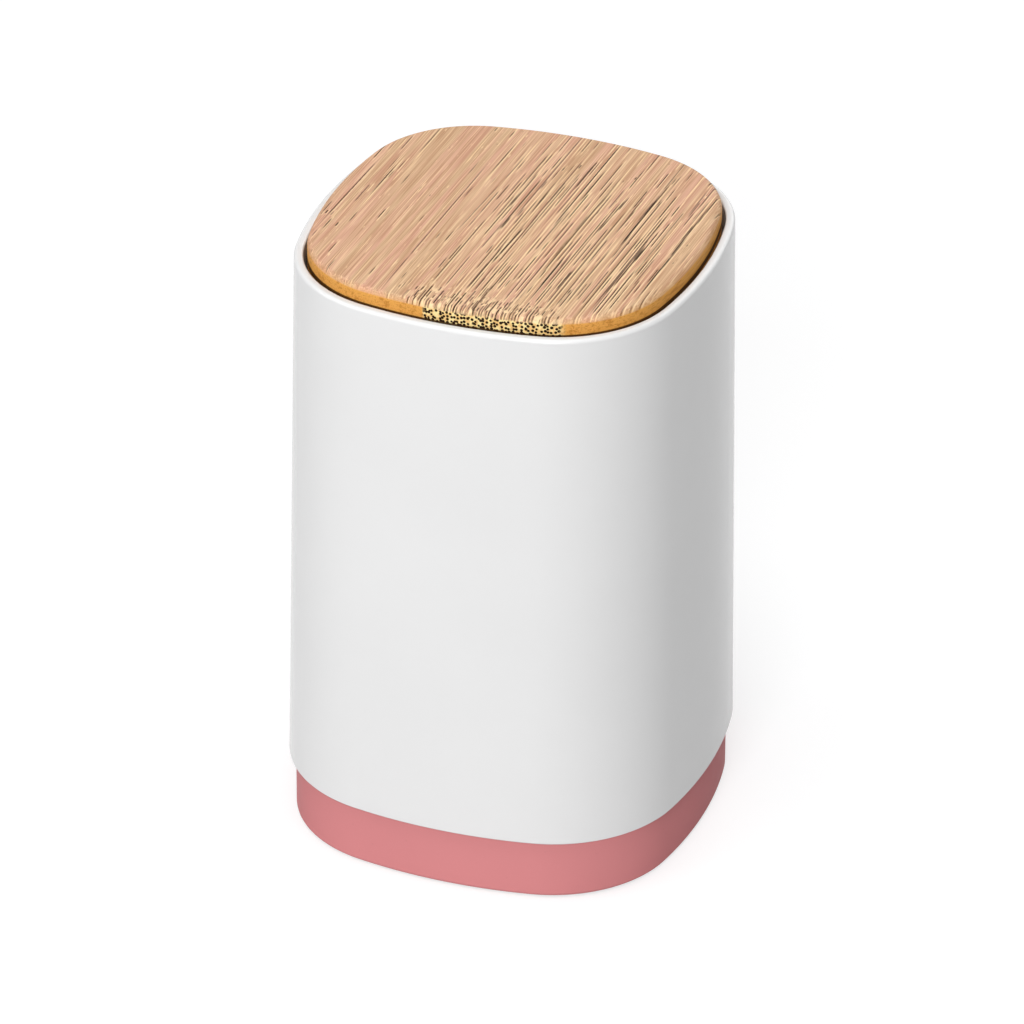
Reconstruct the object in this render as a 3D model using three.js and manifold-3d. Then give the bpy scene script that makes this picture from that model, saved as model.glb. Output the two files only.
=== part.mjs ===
// Press-to-open toothpick dispenser. A white sleeve with a soft square section stands on a coloured plinth,
// and a bamboo lid lies in the mouth of the sleeve. A short press on the lid frees a heart-shaped cam latch,
// and two springs then lift the lid, with the toothpick cup that hangs under it, out of the sleeve. A gear
// with a grease damper rolls along a rack on the way up, so that the toothpicks are not thrown out.
// Millimetres, +Z up, origin on the table under the middle of the object. The latch is on +X and the damper
// on -X.

import * as THREE from "three";
import { mergeVertices } from "three/addons/utils/BufferGeometryUtils.js";
import Module from "manifold-3d";

const wasm = await Module();
wasm.setup();

// Outline of the sleeve at its rim: four bowed sides joined by four rounder corners
const rimHalfWidth = 30;
const rimCornerRadius = 19.2;
const rimSideRadius = 71.4;

// Clearances
const seatGap = 0.1; // between faces that rest on each other
const screwGap = 0.15; // round a screw's shaft
const fitGap = 0.3; // round a piece that is fixed in a recess, a hole or a slot
const slideGap = 0.55; // round a piece that slides in another
const stopGap = 0.4; // left under a moving piece at the end of its travel
const cutOver = 1; // how far a cutting shape runs past the face that it opens

// Outer sleeve
const sleeveWall = 1.4;
const sleeveDraft = 1.3; // how much further out each side stands at the foot than at the rim
const rimRound = 0.25;
const rimInnerRound = 0.25;
const hemRound = 0.2;

// Plinth, with a collar that goes up inside the sleeve and carries the deck
const plinthWallHeight = 9.5;
const plinthInset = 1;
const plinthEdge = 0.5;
const plinthWall = 1.8;
const collarClearance = 0.35;
const collarHeight = 5.6;
const deckThickness = 1.8;
const snapWidth = 10;
const snapHeight = 2;
const snapDepth = 0.7;
const snapRise = 2.2; // from the ledge to the snap's lower edge

// Bottom cover, its screws and feet
const coverThickness = 1.6;
const coverLip = 1.2;
const coverScrewClearance = 1.4; // from a foot's recess to the room for a cover screw's head
const coverScrewInset = 10;
const coverBossRadius = 3;
const footProud = 0.3;
const footSink = 0.6;
const footRadius = 4.5;
const footInset = 3;

// Lid
const lidProud = 2.3;
const lidThickness = 6.4;
const lidEdge = 1;
const lidUnderEdge = 0.4;
const lidPlateThickness = 2;
const lidPlateInset = 0.6;
const lidScrewInset = 3.3;

// Toothpick cup: a round cup whose wall goes on up to the lid as four posts
const pickLength = 65;
const pickHeadroom = 0.7;
const cupWall = 1.1;
const cupFloor = 1.5;
const windowWidth = 24;
const windowHeight = 25;
const windowRise = 0.3; // how far the windows' sills come above the sleeve's rim
const cupTopBand = 3.4;
const postRadius = 2.1;

// Carriage that carries the cup and runs on the guide rods
const carriageWall = 1.3;
const carriageFloor = 1.5;
const sideBossDepth = 0.7; // how far the flat seats for the damper and the latch stand out
const hubWall = 1;
const hubLength = 11;
const hubClearance = 1.3;
const hubTopDrop = 1; // from the top of the carriage's wall down to the hub's top
const webThickness = 3;

// Guide rods, bushes, springs and how far the lid can be pressed
const press = 2.5;
const rodRadius = 2;
const rodSink = 3;
const rodBossRadius = 4.6;
const rodBossDepth = 6;
const bushWall = 0.65;
const bushFlange = 0.8;
const bushFlangeHeight = 0.8;
const springWire = 0.2; // radius
const springClearance = 0.7;
const springTurns = 11;
const springEndPitch = 1;
const bumperThickness = 1.1;
const bumperWall = 1.6;

// Well ring that closes the space round the cup, under the lid
const ringThickness = 1.8;
const ringClearance = 0.3;

// Uprights on the deck: the damper's rack on -X and the latch's cam plate on +X
const uprightClearance = 0.9; // to the inside of the sleeve's rim
const uprightThickness = 2.2;
const uprightFootHeight = 3.8;
const uprightFootReach = 2.6;
const tenonWidth = 4;
const tenonThickness = 1.4;

// Damper
const gearModule = 0.8;
const gearTeeth = 10;
const toothAddendum = 0.48;
const toothDedendum = 0.68;
const toothBacklash = 0.16;
const pressureAngle = (20 * Math.PI) / 180;
const gearAside = 2; // from the middle of the -X side to the gear's axis, along Y
const rackBack = 3.5;
const axleRadius = 1.5;
const damperRadius = 5.6;
const damperThickness = 2.2;
const damperEarRadius = 2;
const damperEarCircle = 7.2;
const damperEdge = 1; // from the upper ear to the top of the carriage

// Latch
const wireRadius = 0.5;
const wireClearance = 0.7;
const wirePivotDrop = 8.2; // from the top of the carriage down to the wire's pivot
const camDepth = 1.3;
const camBorder = 2.1;
const trackHalfWidth = 0.95;
const trackFloorRise = 0.4; // from the cam plate's foot up to the lowest point of the track
const heartHalfWidth = 2.5;
const heartHeight = 9;
const heartLobe = 1.35;
const leafThickness = 0.3;
const leafBow = 0.6; // from the carriage to the leaf's outer face
const leafWidth = 4;
const leafLength = 15;

// Screws
const smallScrew = { shaft: 0.8, head: 1.6, headHeight: 0.8 };
const largeScrew = { shaft: 1, head: 1.9, headHeight: 1.1 };
const coverScrewLength = 8;
const lidScrewLength = 5;
const postScrewLength = 8;
const cupScrewLength = 7;
const rodScrewLength = 7;
const uprightScrewLength = 5;
const damperScrewLength = 3.8;
const leafScrewLength = 1.6;

// How finely round shapes are drawn
const sideSteps = 4;
const cornerSteps = 8;
const edgeSteps = 3;
const screwSteps = 12;
const rodSteps = 16;
const footSteps = 24;
const cupSteps = 48;

// Heights, from the table up. The toothpicks' length sets how tall the object is.
const plinthBottom = footProud;
const ledge = plinthBottom + plinthWallHeight;
const deckTop = ledge + collarHeight;
const carriageBottom = deckTop + press + stopGap;
const carriageFloorTop = carriageBottom + carriageFloor;
const cupBottom = carriageFloorTop + seatGap;
const cupFloorTop = cupBottom + cupFloor;
const lidPlateBottom = cupFloorTop + pickLength + pickHeadroom;
const lidPlateTop = lidPlateBottom + lidPlateThickness;
const lidBottom = lidPlateTop + seatGap;
const lidTop = lidBottom + lidThickness;
const sleeveBottom = ledge + seatGap;
const sleeveTop = lidTop - lidProud;
const cupTop = lidPlateBottom - seatGap;
const windowTop = cupTop - cupTopBand;
const windowSill = windowTop - windowHeight;
const stroke = sleeveTop - windowSill + windowRise;
const ringTop = lidPlateBottom - press - stopGap;
const ringBottom = ringTop - ringThickness;
const bumperTop = ringBottom - seatGap;
const hubTop = bumperTop - bumperThickness - stopGap - stroke;
const hubBottom = hubTop - hubLength;
const bushBottom = hubBottom - seatGap - bushFlangeHeight;
const carriageTop = hubTop + hubTopDrop;
const gearHeight = carriageTop - damperEdge - damperEarRadius - damperEarCircle;
const bossBottom = gearHeight - damperEarCircle - damperEarRadius;
const pivotHeight = carriageTop - wirePivotDrop;
const leafScrewHeight = carriageTop - smallScrew.head - seatGap;
const uprightBottom = deckTop + seatGap;
const footTop = uprightBottom + uprightFootHeight;
const tipRoom = wireRadius + fitGap;
const tipHeight = footTop + trackFloorRise + tipRoom + press;

// Distances from the axis, from the sleeve inwards. What is left inside the carriage sets the cup's size.
const uprightOuter = rimHalfWidth - sleeveWall - uprightClearance;
const uprightInner = uprightOuter - uprightThickness;
const wirePlane = uprightInner - wireClearance - wireRadius;
const leafFace = wirePlane - wireRadius - seatGap;
const bossFace = leafFace - leafBow - seatGap;
const carriageRadius = bossFace - sideBossDepth;
const carriageInner = carriageRadius - carriageWall;
const cupRadius = carriageInner - fitGap;
const cupInner = cupRadius - cupWall;
const postCircle = cupRadius - postRadius;
const bushRadius = rodRadius + screwGap + bushWall;
const hubRadius = bushRadius + seatGap + hubWall;
const springRadius = rodRadius + springClearance + springWire;
const pitchRadius = (gearModule * gearTeeth) / 2;
const rackPitchLine = gearAside - pitchRadius;

// How far outlines stand from the rim's outline
const plinthOffset = sleeveDraft - plinthInset;
const collarOffset = sleeveDraft - sleeveWall - collarClearance;
const coverOffset = plinthOffset - coverLip - fitGap;
const lidOffset = -sleeveWall - slideGap;
const lidPlateOffset = lidOffset - lidPlateInset;
const sleeveInside = (z) => (sleeveDraft * (sleeveTop - z)) / (sleeveTop - sleeveBottom) - sleeveWall;

// The corner arcs touch the side arcs, which puts the corners' centres at (centre, centre). An outline that
// is moved inwards or outwards keeps all its centres.
const sideBack = rimSideRadius - rimHalfWidth;
const arcReach = rimSideRadius - rimCornerRadius;
const cornerCentre = (Math.sqrt(2 * arcReach ** 2 - sideBack ** 2) - sideBack) / 2;
const cornerTurn = Math.atan2(cornerCentre, cornerCentre + sideBack);

// How far the diagonal of an outline reaches from the axis, as a place along X and along Y.
const diagonalPlace = (offset) => cornerCentre + (rimCornerRadius + offset) * Math.SQRT1_2;

// Points round the soft square, anticlockwise, moved outwards by offset.
function outline(offset) {
  const corner = rimCornerRadius + offset;
  const side = rimSideRadius + offset;
  const points = [];
  for (let quarter = 0; quarter < 4; quarter++) {
    const start = (quarter * Math.PI) / 2;
    const put = (x, y) =>
      points.push(new THREE.Vector2(x, y).rotateAround(new THREE.Vector2(), start));
    for (let i = 0; i < sideSteps; i++) {
      const a = cornerTurn * ((2 * i) / sideSteps - 1);
      put(side * Math.cos(a) - sideBack, side * Math.sin(a));
    }
    for (let i = 0; i < cornerSteps; i++) {
      const a = cornerTurn + ((Math.PI / 2 - 2 * cornerTurn) * i) / cornerSteps;
      put(cornerCentre + corner * Math.cos(a), cornerCentre + corner * Math.sin(a));
    }
  }
  return points;
}

// Sections, each [offset, height], round a quarter of an edge. Quarter 0 goes from outwards to upwards.
function edge(offset, z, radius, quarter) {
  return Array.from({ length: edgeSteps + 1 }, (_, i) => {
    const a = ((quarter + i / edgeSteps) * Math.PI) / 2;
    return [offset + radius * Math.cos(a), z + radius * Math.sin(a)];
  });
}

// Joins soft-square sections in order. A closed list goes up the outside and down the inside and makes a
// shell; an open one goes up and gets a flat end at the bottom and the top.
function softSquare(sections, closed = false) {
  const position = [];
  for (const [offset, z] of sections) {
    for (const p of outline(offset)) position.push(p.x, p.y, z);
  }
  const count = position.length / 3 / sections.length;
  const index = [];
  const bands = closed ? sections.length : sections.length - 1;
  for (let s = 0; s < bands; s++) {
    const low = s * count;
    const high = ((s + 1) % sections.length) * count;
    for (let i = 0; i < count; i++) {
      const next = (i + 1) % count;
      index.push(low + i, low + next, high + next, low + i, high + next, high + i);
    }
  }
  if (!closed) {
    const bottom = position.length / 3;
    const top = bottom + 1;
    const last = (sections.length - 1) * count;
    position.push(0, 0, sections[0][1], 0, 0, sections[sections.length - 1][1]);
    for (let i = 0; i < count; i++) {
      const next = (i + 1) % count;
      index.push(bottom, next, i, top, last + i, last + next);
    }
  }
  return new THREE.BufferGeometry()
    .setAttribute("position", new THREE.Float32BufferAttribute(position, 3))
    .setIndex(index);
}

// A closed three.js geometry as a solid that can be joined and cut.
function solidOf(geometry) {
  const bare = geometry.clone();
  bare.deleteAttribute("normal");
  bare.deleteAttribute("uv");
  const merged = mergeVertices(bare);
  return new wasm.Manifold(
    new wasm.Mesh({
      numProp: 3,
      vertProperties: new Float32Array(merged.attributes.position.array),
      triVerts: new Uint32Array(merged.index.array),
    }),
  );
}

// The solid turned back into a three.js geometry.
function geometryOf(solid) {
  const mesh = solid.getMesh();
  return new THREE.BufferGeometry()
    .setAttribute("position", new THREE.BufferAttribute(mesh.vertProperties, 3))
    .setIndex(new THREE.BufferAttribute(mesh.triVerts, 1));
}

const add = (first, ...rest) => rest.reduce((sum, s) => sum.add(s), first);
const cut = (first, ...rest) => rest.reduce((sum, s) => sum.subtract(s), first);

// A prism of the soft square between two heights.
const prism = (offset, z0, z1) => solidOf(softSquare([[offset, z0], [offset, z1]]));

// A profile of [radius, height] points, up the outside from the axis, turned about +Z at (x, y).
function turned(profile, steps, x = 0, y = 0) {
  const points = profile.map(([r, z]) => new THREE.Vector2(r, z));
  return solidOf(new THREE.LatheGeometry(points, steps).rotateX(Math.PI / 2).translate(x, y, 0));
}

// An upright cylinder, and an upright tube.
const rod = (r, z0, z1, steps, x, y) => turned([[0, z0], [r, z0], [r, z1], [0, z1]], steps, x, y);
const tube = (r0, r1, z0, z1, steps, x, y) =>
  turned([[r0, z0], [r1, z0], [r1, z1], [r0, z1], [r0, z0]], steps, x, y);

// A block between two values of x, of y and of z.
function block([x0, x1], [y0, y1], [z0, z1]) {
  const box = new THREE.BoxGeometry(x1 - x0, y1 - y0, z1 - z0);
  return solidOf(box.translate((x0 + x1) / 2, (y0 + y1) / 2, (z0 + z1) / 2));
}

// A flat shape drawn in Y and Z, as thick along X as from x0 to x1.
function plate(points, x0, x1) {
  const shape = new THREE.Shape(points.map(([y, z]) => new THREE.Vector2(y, z)));
  const body = new THREE.ExtrudeGeometry(shape, { depth: x1 - x0, bevelEnabled: false });
  const upright = new THREE.Matrix4().makeBasis(
    new THREE.Vector3(0, 1, 0),
    new THREE.Vector3(0, 0, 1),
    new THREE.Vector3(1, 0, 0),
  );
  return solidOf(body.applyMatrix4(upright).translate(x0, 0, 0));
}

// A cylinder along X between x0 and x1.
function crossRod(r, x0, x1, steps, y, z) {
  const body = new THREE.CylinderGeometry(r, r, x1 - x0, steps).rotateZ(Math.PI / 2);
  return solidOf(body.translate((x0 + x1) / 2, y, z));
}

// A countersunk screw with its head's face at height 0 and its shaft going up, and the room that it needs.
function flatScrew({ shaft, head, headHeight }, length) {
  return [[0, 0], [head, 0], [shaft, headHeight], [shaft, length], [0, length]];
}
function flatScrewRoom({ shaft, head, headHeight }, length) {
  const wide = shaft + screwGap;
  return [
    [0, -cutOver],
    [head + screwGap, -cutOver],
    [head + screwGap, 0],
    [wide, headHeight + seatGap],
    [wide, length + screwGap],
    [0, length + screwGap],
  ];
}

// A pan-head screw whose head's seat is at height 0 and whose shaft goes up.
function panScrew({ shaft, head, headHeight }, length) {
  const ease = headHeight / 4;
  return [
    [0, -headHeight],
    [head - ease, -headHeight],
    [head, ease - headHeight],
    [head, 0],
    [shaft, 0],
    [shaft, length],
    [0, length],
  ];
}

// Places a profile at height z, going up, or turned over so that it goes down.
const upFrom = (profile, z) => profile.map(([r, h]) => [r, z + h]);
const downFrom = (profile, z) => profile.map(([r, h]) => [r, z - h]).reverse();

const material = (color, roughness, metalness = 0) =>
  new THREE.MeshStandardMaterial({ color, roughness, metalness });
const whiteGloss = material("#f1f1f2", 0.32);
const pinkGloss = material("#db8587", 0.35);
const bamboo = material("#d3a97f", 0.6);
const whiteSatin = material("#eceae6", 0.5);
const milky = material("#e4e6e6", 0.4);
const acetal = material("#d9d6cc", 0.45);
const darkPlastic = material("#3a3b3d", 0.5);
const rubber = material("#5a5a5c", 0.85);
const polished = material("#d2d4d7", 0.12, 1);
const steel = material("#b9bcc0", 0.28, 1);
const springSteel = material("#a5a8ad", 0.3, 1);

const dispenser = new THREE.Group();
const stand = new THREE.Group();
const lift = new THREE.Group();
dispenser.add(stand, lift);

// Adds a piece to its group, at a place and turned about X, Y and Z.
function make(name, solid, finish, parent, place = [0, 0, 0], turn = [0, 0, 0]) {
  const mesh = new THREE.Mesh(geometryOf(solid), finish);
  mesh.name = name;
  mesh.position.set(...place);
  mesh.rotation.set(...turn);
  parent.add(mesh);
}

// Adds a screw whose shaft points up, or along turned +Z.
const makeScrew = (name, profile, parent, place, turn) =>
  make(name, turned(profile, screwSteps), steel, parent, place, turn);
const upsideDown = [Math.PI, 0, 0];
const towardsX = [0, Math.PI / 2, 0];
const awayFromX = [0, -Math.PI / 2, 0];

// The four corners of a rectangle, and the places of what repeats, as [x, y].
const corners = (x, y) => [[x, y], [-x, y], [-x, -y], [x, -y]];
const rodSpread = diagonalPlace(-sleeveWall) - (hubClearance + hubRadius) * Math.SQRT1_2;
const rodPlaces = [[rodSpread, rodSpread], [-rodSpread, -rodSpread]];
const footSpread = diagonalPlace(coverOffset) - (footInset + footRadius) * Math.SQRT1_2;
const footPlaces = corners(footSpread, footSpread);
const coverScrewAside =
  footSpread - footRadius - fitGap - coverScrewClearance - screwGap - largeScrew.head;
const coverScrewPlaces = corners(coverScrewAside, rimHalfWidth - coverScrewInset);
const postPlaces = corners(postCircle * Math.SQRT1_2, postCircle * Math.SQRT1_2);
const cupScrewPlaces = postPlaces.filter(([x, y]) => x * y < 0);
const lidScrewPlace = rimHalfWidth + lidPlateOffset - lidScrewInset;
const lidScrewPlaces = [[lidScrewPlace, 0], [0, lidScrewPlace], [-lidScrewPlace, 0], [0, -lidScrewPlace]];
const rackMiddle = rackPitchLine - toothDedendum - rackBack / 2;
const uprightScrewPlace = uprightInner + (uprightThickness - uprightFootReach) / 2;
const uprightScrewPlaces = [[-uprightScrewPlace, rackMiddle], [uprightScrewPlace, 0]];

// Snaps on the collar, one in the middle of each side, as blocks grown by gap all round.
function snaps(gap) {
  const out = rimHalfWidth + collarOffset + snapDepth + gap;
  const back = rimHalfWidth + collarOffset - plinthWall / 2;
  const across = [-snapWidth / 2 - gap, snapWidth / 2 + gap];
  const up = [ledge + snapRise - gap, ledge + snapRise + snapHeight + gap];
  return [
    block([back, out], across, up),
    block([-out, -back], across, up),
    block(across, [back, out], up),
    block(across, [-out, -back], up),
  ];
}

function outerSleeve() {
  const shell = softSquare(
    [
      ...edge(sleeveDraft - hemRound, sleeveBottom + hemRound, hemRound, -1),
      ...edge(-rimRound, sleeveTop - rimRound, rimRound, 0),
      ...edge(rimInnerRound - sleeveWall, sleeveTop - rimInnerRound, rimInnerRound, 1),
      [sleeveInside(sleeveBottom), sleeveBottom],
    ],
    true,
  );
  make("outer_sleeve", cut(solidOf(shell), ...snaps(fitGap)), whiteGloss, stand);
}

function basePlinth() {
  const coverTop = plinthBottom + coverThickness + seatGap;
  const underDeck = deckTop - deckThickness;
  let body = solidOf(
    softSquare([
      ...edge(plinthOffset - plinthEdge, plinthBottom + plinthEdge, plinthEdge, -1),
      [plinthOffset, ledge],
      [collarOffset, ledge],
      [collarOffset, deckTop - plinthEdge],
      [collarOffset - plinthEdge, deckTop],
    ]),
  );
  body = add(body, ...snaps(0));
  body = cut(
    body,
    prism(plinthOffset - coverLip, plinthBottom - cutOver, coverTop),
    prism(collarOffset - plinthWall, coverTop - cutOver, underDeck),
  );
  for (const [x, y] of coverScrewPlaces) {
    const boss = rod(coverBossRadius, coverTop, deckTop - deckThickness / 2, screwSteps, x, y);
    body = cut(
      add(body, boss),
      turned(upFrom(flatScrewRoom(largeScrew, coverScrewLength), plinthBottom), screwSteps, x, y),
    );
  }
  for (const [x, y] of rodPlaces) {
    const under = deckTop - rodBossDepth;
    const boss = rod(rodBossRadius, under, deckTop - deckThickness / 2, rodSteps, x, y);
    body = cut(
      add(body, boss),
      rod(rodRadius + screwGap, deckTop - rodSink - seatGap, deckTop + cutOver, rodSteps, x, y),
      rod(largeScrew.shaft + screwGap, under - cutOver, deckTop, screwSteps, x, y),
    );
  }
  for (const [x, y] of uprightScrewPlaces) {
    body = cut(
      body,
      rod(largeScrew.shaft + screwGap, underDeck - cutOver, deckTop + cutOver, screwSteps, x, y),
    );
  }
  make("base_plinth", body, pinkGloss, stand);
}

function baseCover() {
  const top = plinthBottom + coverThickness;
  const ease = plinthEdge / 2;
  const footEnd = plinthBottom + footSink;
  let body = solidOf(
    softSquare([[coverOffset - ease, plinthBottom], [coverOffset, plinthBottom + ease], [coverOffset, top]]),
  );
  for (const [x, y] of footPlaces) {
    const recess = rod(footRadius + fitGap, plinthBottom - cutOver, footEnd + seatGap, footSteps, x, y);
    body = cut(body, recess);
  }
  for (const [x, y] of coverScrewPlaces) {
    body = cut(
      body,
      turned(upFrom(flatScrewRoom(largeScrew, coverScrewLength), plinthBottom), screwSteps, x, y),
    );
  }
  make("base_cover", body, pinkGloss, stand);
  coverScrewPlaces.forEach(([x, y], i) => {
    const screw = flatScrew(largeScrew, coverScrewLength);
    makeScrew(`cover_screw_${i + 1}`, screw, stand, [x, y, plinthBottom]);
  });
  const round = footProud / 3;
  const foot = turned(
    [
      [0, 0],
      [footRadius - round, 0],
      [footRadius, round],
      [footRadius, footEnd],
      [0, footEnd],
    ],
    footSteps,
  );
  footPlaces.forEach(([x, y], i) => make(`foot_pad_${i + 1}`, foot, rubber, stand, [x, y, 0]));
}

// The middle of a spring's wire, wound round the Z axis, with a closer turn at each end.
const springStepsPerTurn = 8;
function springPath() {
  const low = deckTop + seatGap + springWire;
  const high = bushBottom - seatGap - springWire;
  const openTurns = springTurns - 2;
  const openPitch = (high - low - 2 * springEndPitch) / openTurns;
  return Array.from({ length: springTurns * springStepsPerTurn + 1 }, (_, i) => {
    const turns = i / springStepsPerTurn;
    const open = Math.min(Math.max(turns - 1, 0), openTurns);
    const z = low + open * openPitch + (turns - open) * springEndPitch;
    const angle = turns * 2 * Math.PI;
    return new THREE.Vector3(springRadius * Math.cos(angle), springRadius * Math.sin(angle), z);
  });
}

// The least gap between neighbouring turns of the wire.
function springGap(path) {
  let least = Infinity;
  path.forEach((p, i) => {
    for (const q of path.slice(i + springStepsPerTurn / 2)) least = Math.min(least, p.distanceTo(q));
  });
  return least - 2 * springWire;
}

function spring() {
  const sides = 5;
  const path = springPath();
  const last = (path.length - 1) * sides;
  const position = [];
  const index = [];
  for (const p of path) {
    for (let k = 0; k < sides; k++) {
      const a = (k * 2 * Math.PI) / sides;
      const reach = 1 + (springWire * Math.cos(a)) / springRadius;
      position.push(p.x * reach, p.y * reach, p.z + springWire * Math.sin(a));
    }
  }
  for (let a = 0; a < last; a++) {
    const b = a % sides === sides - 1 ? a + 1 - sides : a + 1;
    index.push(a, a + sides, b, b, a + sides, b + sides);
  }
  for (let k = 1; k < sides - 1; k++) index.push(0, k, k + 1, last, last + k + 1, last + k);
  const geometry = new THREE.BufferGeometry()
    .setAttribute("position", new THREE.Float32BufferAttribute(position, 3))
    .setIndex(index);
  return solidOf(geometry);
}

function guideRods() {
  const foot = deckTop - rodSink;
  const top = ringBottom - seatGap;
  const pilot = largeScrew.shaft + screwGap;
  const screwRoom = rodScrewLength + screwGap;
  const shaft = cut(
    rod(rodRadius, foot, top, rodSteps),
    rod(pilot, foot - cutOver, deckTop - rodBossDepth + screwRoom, screwSteps),
    rod(pilot, ringTop - screwRoom, top + cutOver, screwSteps),
  );
  const bore = rodRadius + screwGap;
  const washer = tube(bore, bore + bumperWall, bumperTop - bumperThickness, bumperTop, rodSteps);
  const coil = spring();
  const footScrew = panScrew(largeScrew, rodScrewLength);
  const topScrew = flatScrew(largeScrew, rodScrewLength);
  rodPlaces.forEach(([x, y], i) => {
    const n = i + 1;
    make(`guide_rod_${n}`, shaft, polished, stand, [x, y, 0]);
    make(`bumper_washer_${n}`, washer, rubber, stand, [x, y, 0]);
    make(`lift_spring_${n}`, coil, springSteel, stand, [x, y, 0]);
    makeScrew(`rod_foot_screw_${n}`, footScrew, stand, [x, y, deckTop - rodBossDepth - seatGap]);
    makeScrew(`rod_top_screw_${n}`, topScrew, stand, [x, y, ringTop], upsideDown);
  });
}

function wellRing() {
  const offset = sleeveInside(ringTop) - ringClearance;
  let body = cut(
    prism(offset, ringBottom, ringTop),
    rod(cupRadius + slideGap, ringBottom - cutOver, ringTop + cutOver, cupSteps, 0, 0),
  );
  for (const [x, y] of rodPlaces) {
    const room = downFrom(flatScrewRoom(largeScrew, rodScrewLength), ringTop);
    body = cut(body, turned(room, screwSteps, x, y));
  }
  const slotX = [uprightInner - fitGap, uprightInner + tenonThickness + fitGap];
  const through = [ringBottom - cutOver, ringTop + cutOver];
  const slotY = [-tenonWidth / 2 - fitGap, tenonWidth / 2 + fitGap];
  body = cut(
    body,
    block(slotX, slotY, through),
    block([-slotX[1], -slotX[0]], slotY.map((v) => v + rackMiddle), through),
  );
  make("well_ring", body, whiteSatin, stand);
}

// The foot that an upright stands on, the tenon that holds it in the well ring and the hole for its screw.
// side is 1 on +X and -1 on -X.
function uprightEnds(side, middle, width) {
  const along = (x0, x1) => (side > 0 ? [x0, x1] : [-x1, -x0]);
  const foot = block(
    along(uprightInner - uprightFootReach, uprightOuter),
    [middle - width / 2, middle + width / 2],
    [uprightBottom, footTop],
  );
  const tenon = block(
    along(uprightInner, uprightInner + tenonThickness),
    [middle - tenonWidth / 2, middle + tenonWidth / 2],
    [ringBottom - ringThickness, ringTop - seatGap],
  );
  const pilot = rod(
    largeScrew.shaft + screwGap,
    deckTop - cutOver,
    deckTop - deckThickness + uprightScrewLength + screwGap,
    screwSteps,
    side * uprightScrewPlace,
    middle,
  );
  return { foot, tenon, pilot };
}

// The rack's straight-sided teeth point towards the gear, with a space opposite the gear's axis.
function damperRack() {
  const pitch = gearModule * Math.PI;
  const root = rackPitchLine - toothDedendum;
  const tip = rackPitchLine + toothAddendum;
  const slope = Math.tan(pressureAngle);
  const halfTooth = pitch / 4 - toothBacklash / 4;
  const halfRoot = halfTooth + toothDedendum * slope;
  const halfTip = halfTooth - toothAddendum * slope;
  const first = -Math.ceil(press / pitch) - 2;
  const last = Math.ceil(stroke / pitch) + 1;
  const points = [[root - rackBack, uprightBottom], [root, uprightBottom]];
  for (let i = first; i <= last; i++) {
    const z = gearHeight + (i + 1 / 2) * pitch;
    points.push([root, z - halfRoot], [tip, z - halfTip], [tip, z + halfTip], [root, z + halfRoot]);
  }
  points.push([root, bumperTop], [root - rackBack, bumperTop]);
  const { foot, tenon, pilot } = uprightEnds(-1, rackMiddle, rackBack + toothDedendum);
  const body = add(plate(points, -uprightOuter, -uprightInner), foot, tenon);
  make("damper_rack", cut(body, pilot), acetal, stand);
}

// The cam plate has a track for the latch wire's tip: straight above, and parted below round a heart. The tip
// rests in the notch under the heart when the lid is down.
function latchCamPlate() {
  const lane = heartHalfWidth + 2 * trackHalfWidth;
  const half = lane + camBorder;
  const body = block([uprightInner, uprightOuter], [-half, half], [uprightBottom, bumperTop]);
  const notch = tipHeight + tipRoom;
  const shoulder = notch + heartHeight / 4;
  const heartTop = notch + heartHeight;
  const laneTop = heartTop + 3 * trackHalfWidth;
  const trackTop = tipHeight + stroke + tipRoom;
  const trackFloor = tipHeight - press - tipRoom;
  const track = [
    [trackHalfWidth, trackTop],
    [-trackHalfWidth, trackTop],
    [-trackHalfWidth, laneTop],
    [-lane, shoulder],
    [-lane, tipHeight - tipRoom],
    [-lane / 2, trackFloor],
    [lane / 2, trackFloor],
    [lane, tipHeight - tipRoom],
    [lane, shoulder],
    [trackHalfWidth, laneTop],
  ];
  const lobe = heartHalfWidth - trackHalfWidth / 2;
  const heart = [
    [0, notch],
    [lobe, notch - heartLobe],
    [heartHalfWidth, notch],
    [heartHalfWidth, shoulder],
    [0, heartTop],
    [-heartHalfWidth, shoulder],
    [-heartHalfWidth, notch],
    [-lobe, notch - heartLobe],
  ];
  const floor = uprightInner + camDepth;
  const groove = cut(
    plate(track, uprightInner - cutOver, floor),
    plate(heart, uprightInner - 2 * cutOver, floor + cutOver),
  );
  const { foot, tenon, pilot } = uprightEnds(1, 0, 2 * half);
  make("latch_cam_plate", cut(add(cut(body, groove), foot, tenon), pilot), acetal, stand);
}

function uprightScrews() {
  const seat = deckTop - deckThickness - seatGap;
  const screw = panScrew(largeScrew, uprightScrewLength);
  const [rack, cam] = uprightScrewPlaces;
  makeScrew("rack_screw", screw, stand, [...rack, seat]);
  makeScrew("cam_screw", screw, stand, [...cam, seat]);
}

function bambooLid() {
  let body = solidOf(
    softSquare([
      [lidOffset - lidUnderEdge, lidBottom],
      [lidOffset, lidBottom + lidUnderEdge],
      ...edge(lidOffset - lidEdge, lidTop - lidEdge, lidEdge, 0),
    ]),
  );
  for (const [x, y] of lidScrewPlaces) {
    const end = lidPlateBottom + lidScrewLength + screwGap;
    body = cut(body, rod(smallScrew.shaft + screwGap, lidBottom - cutOver, end, screwSteps, x, y));
  }
  make("bamboo_lid", body, bamboo, lift);
}

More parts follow.
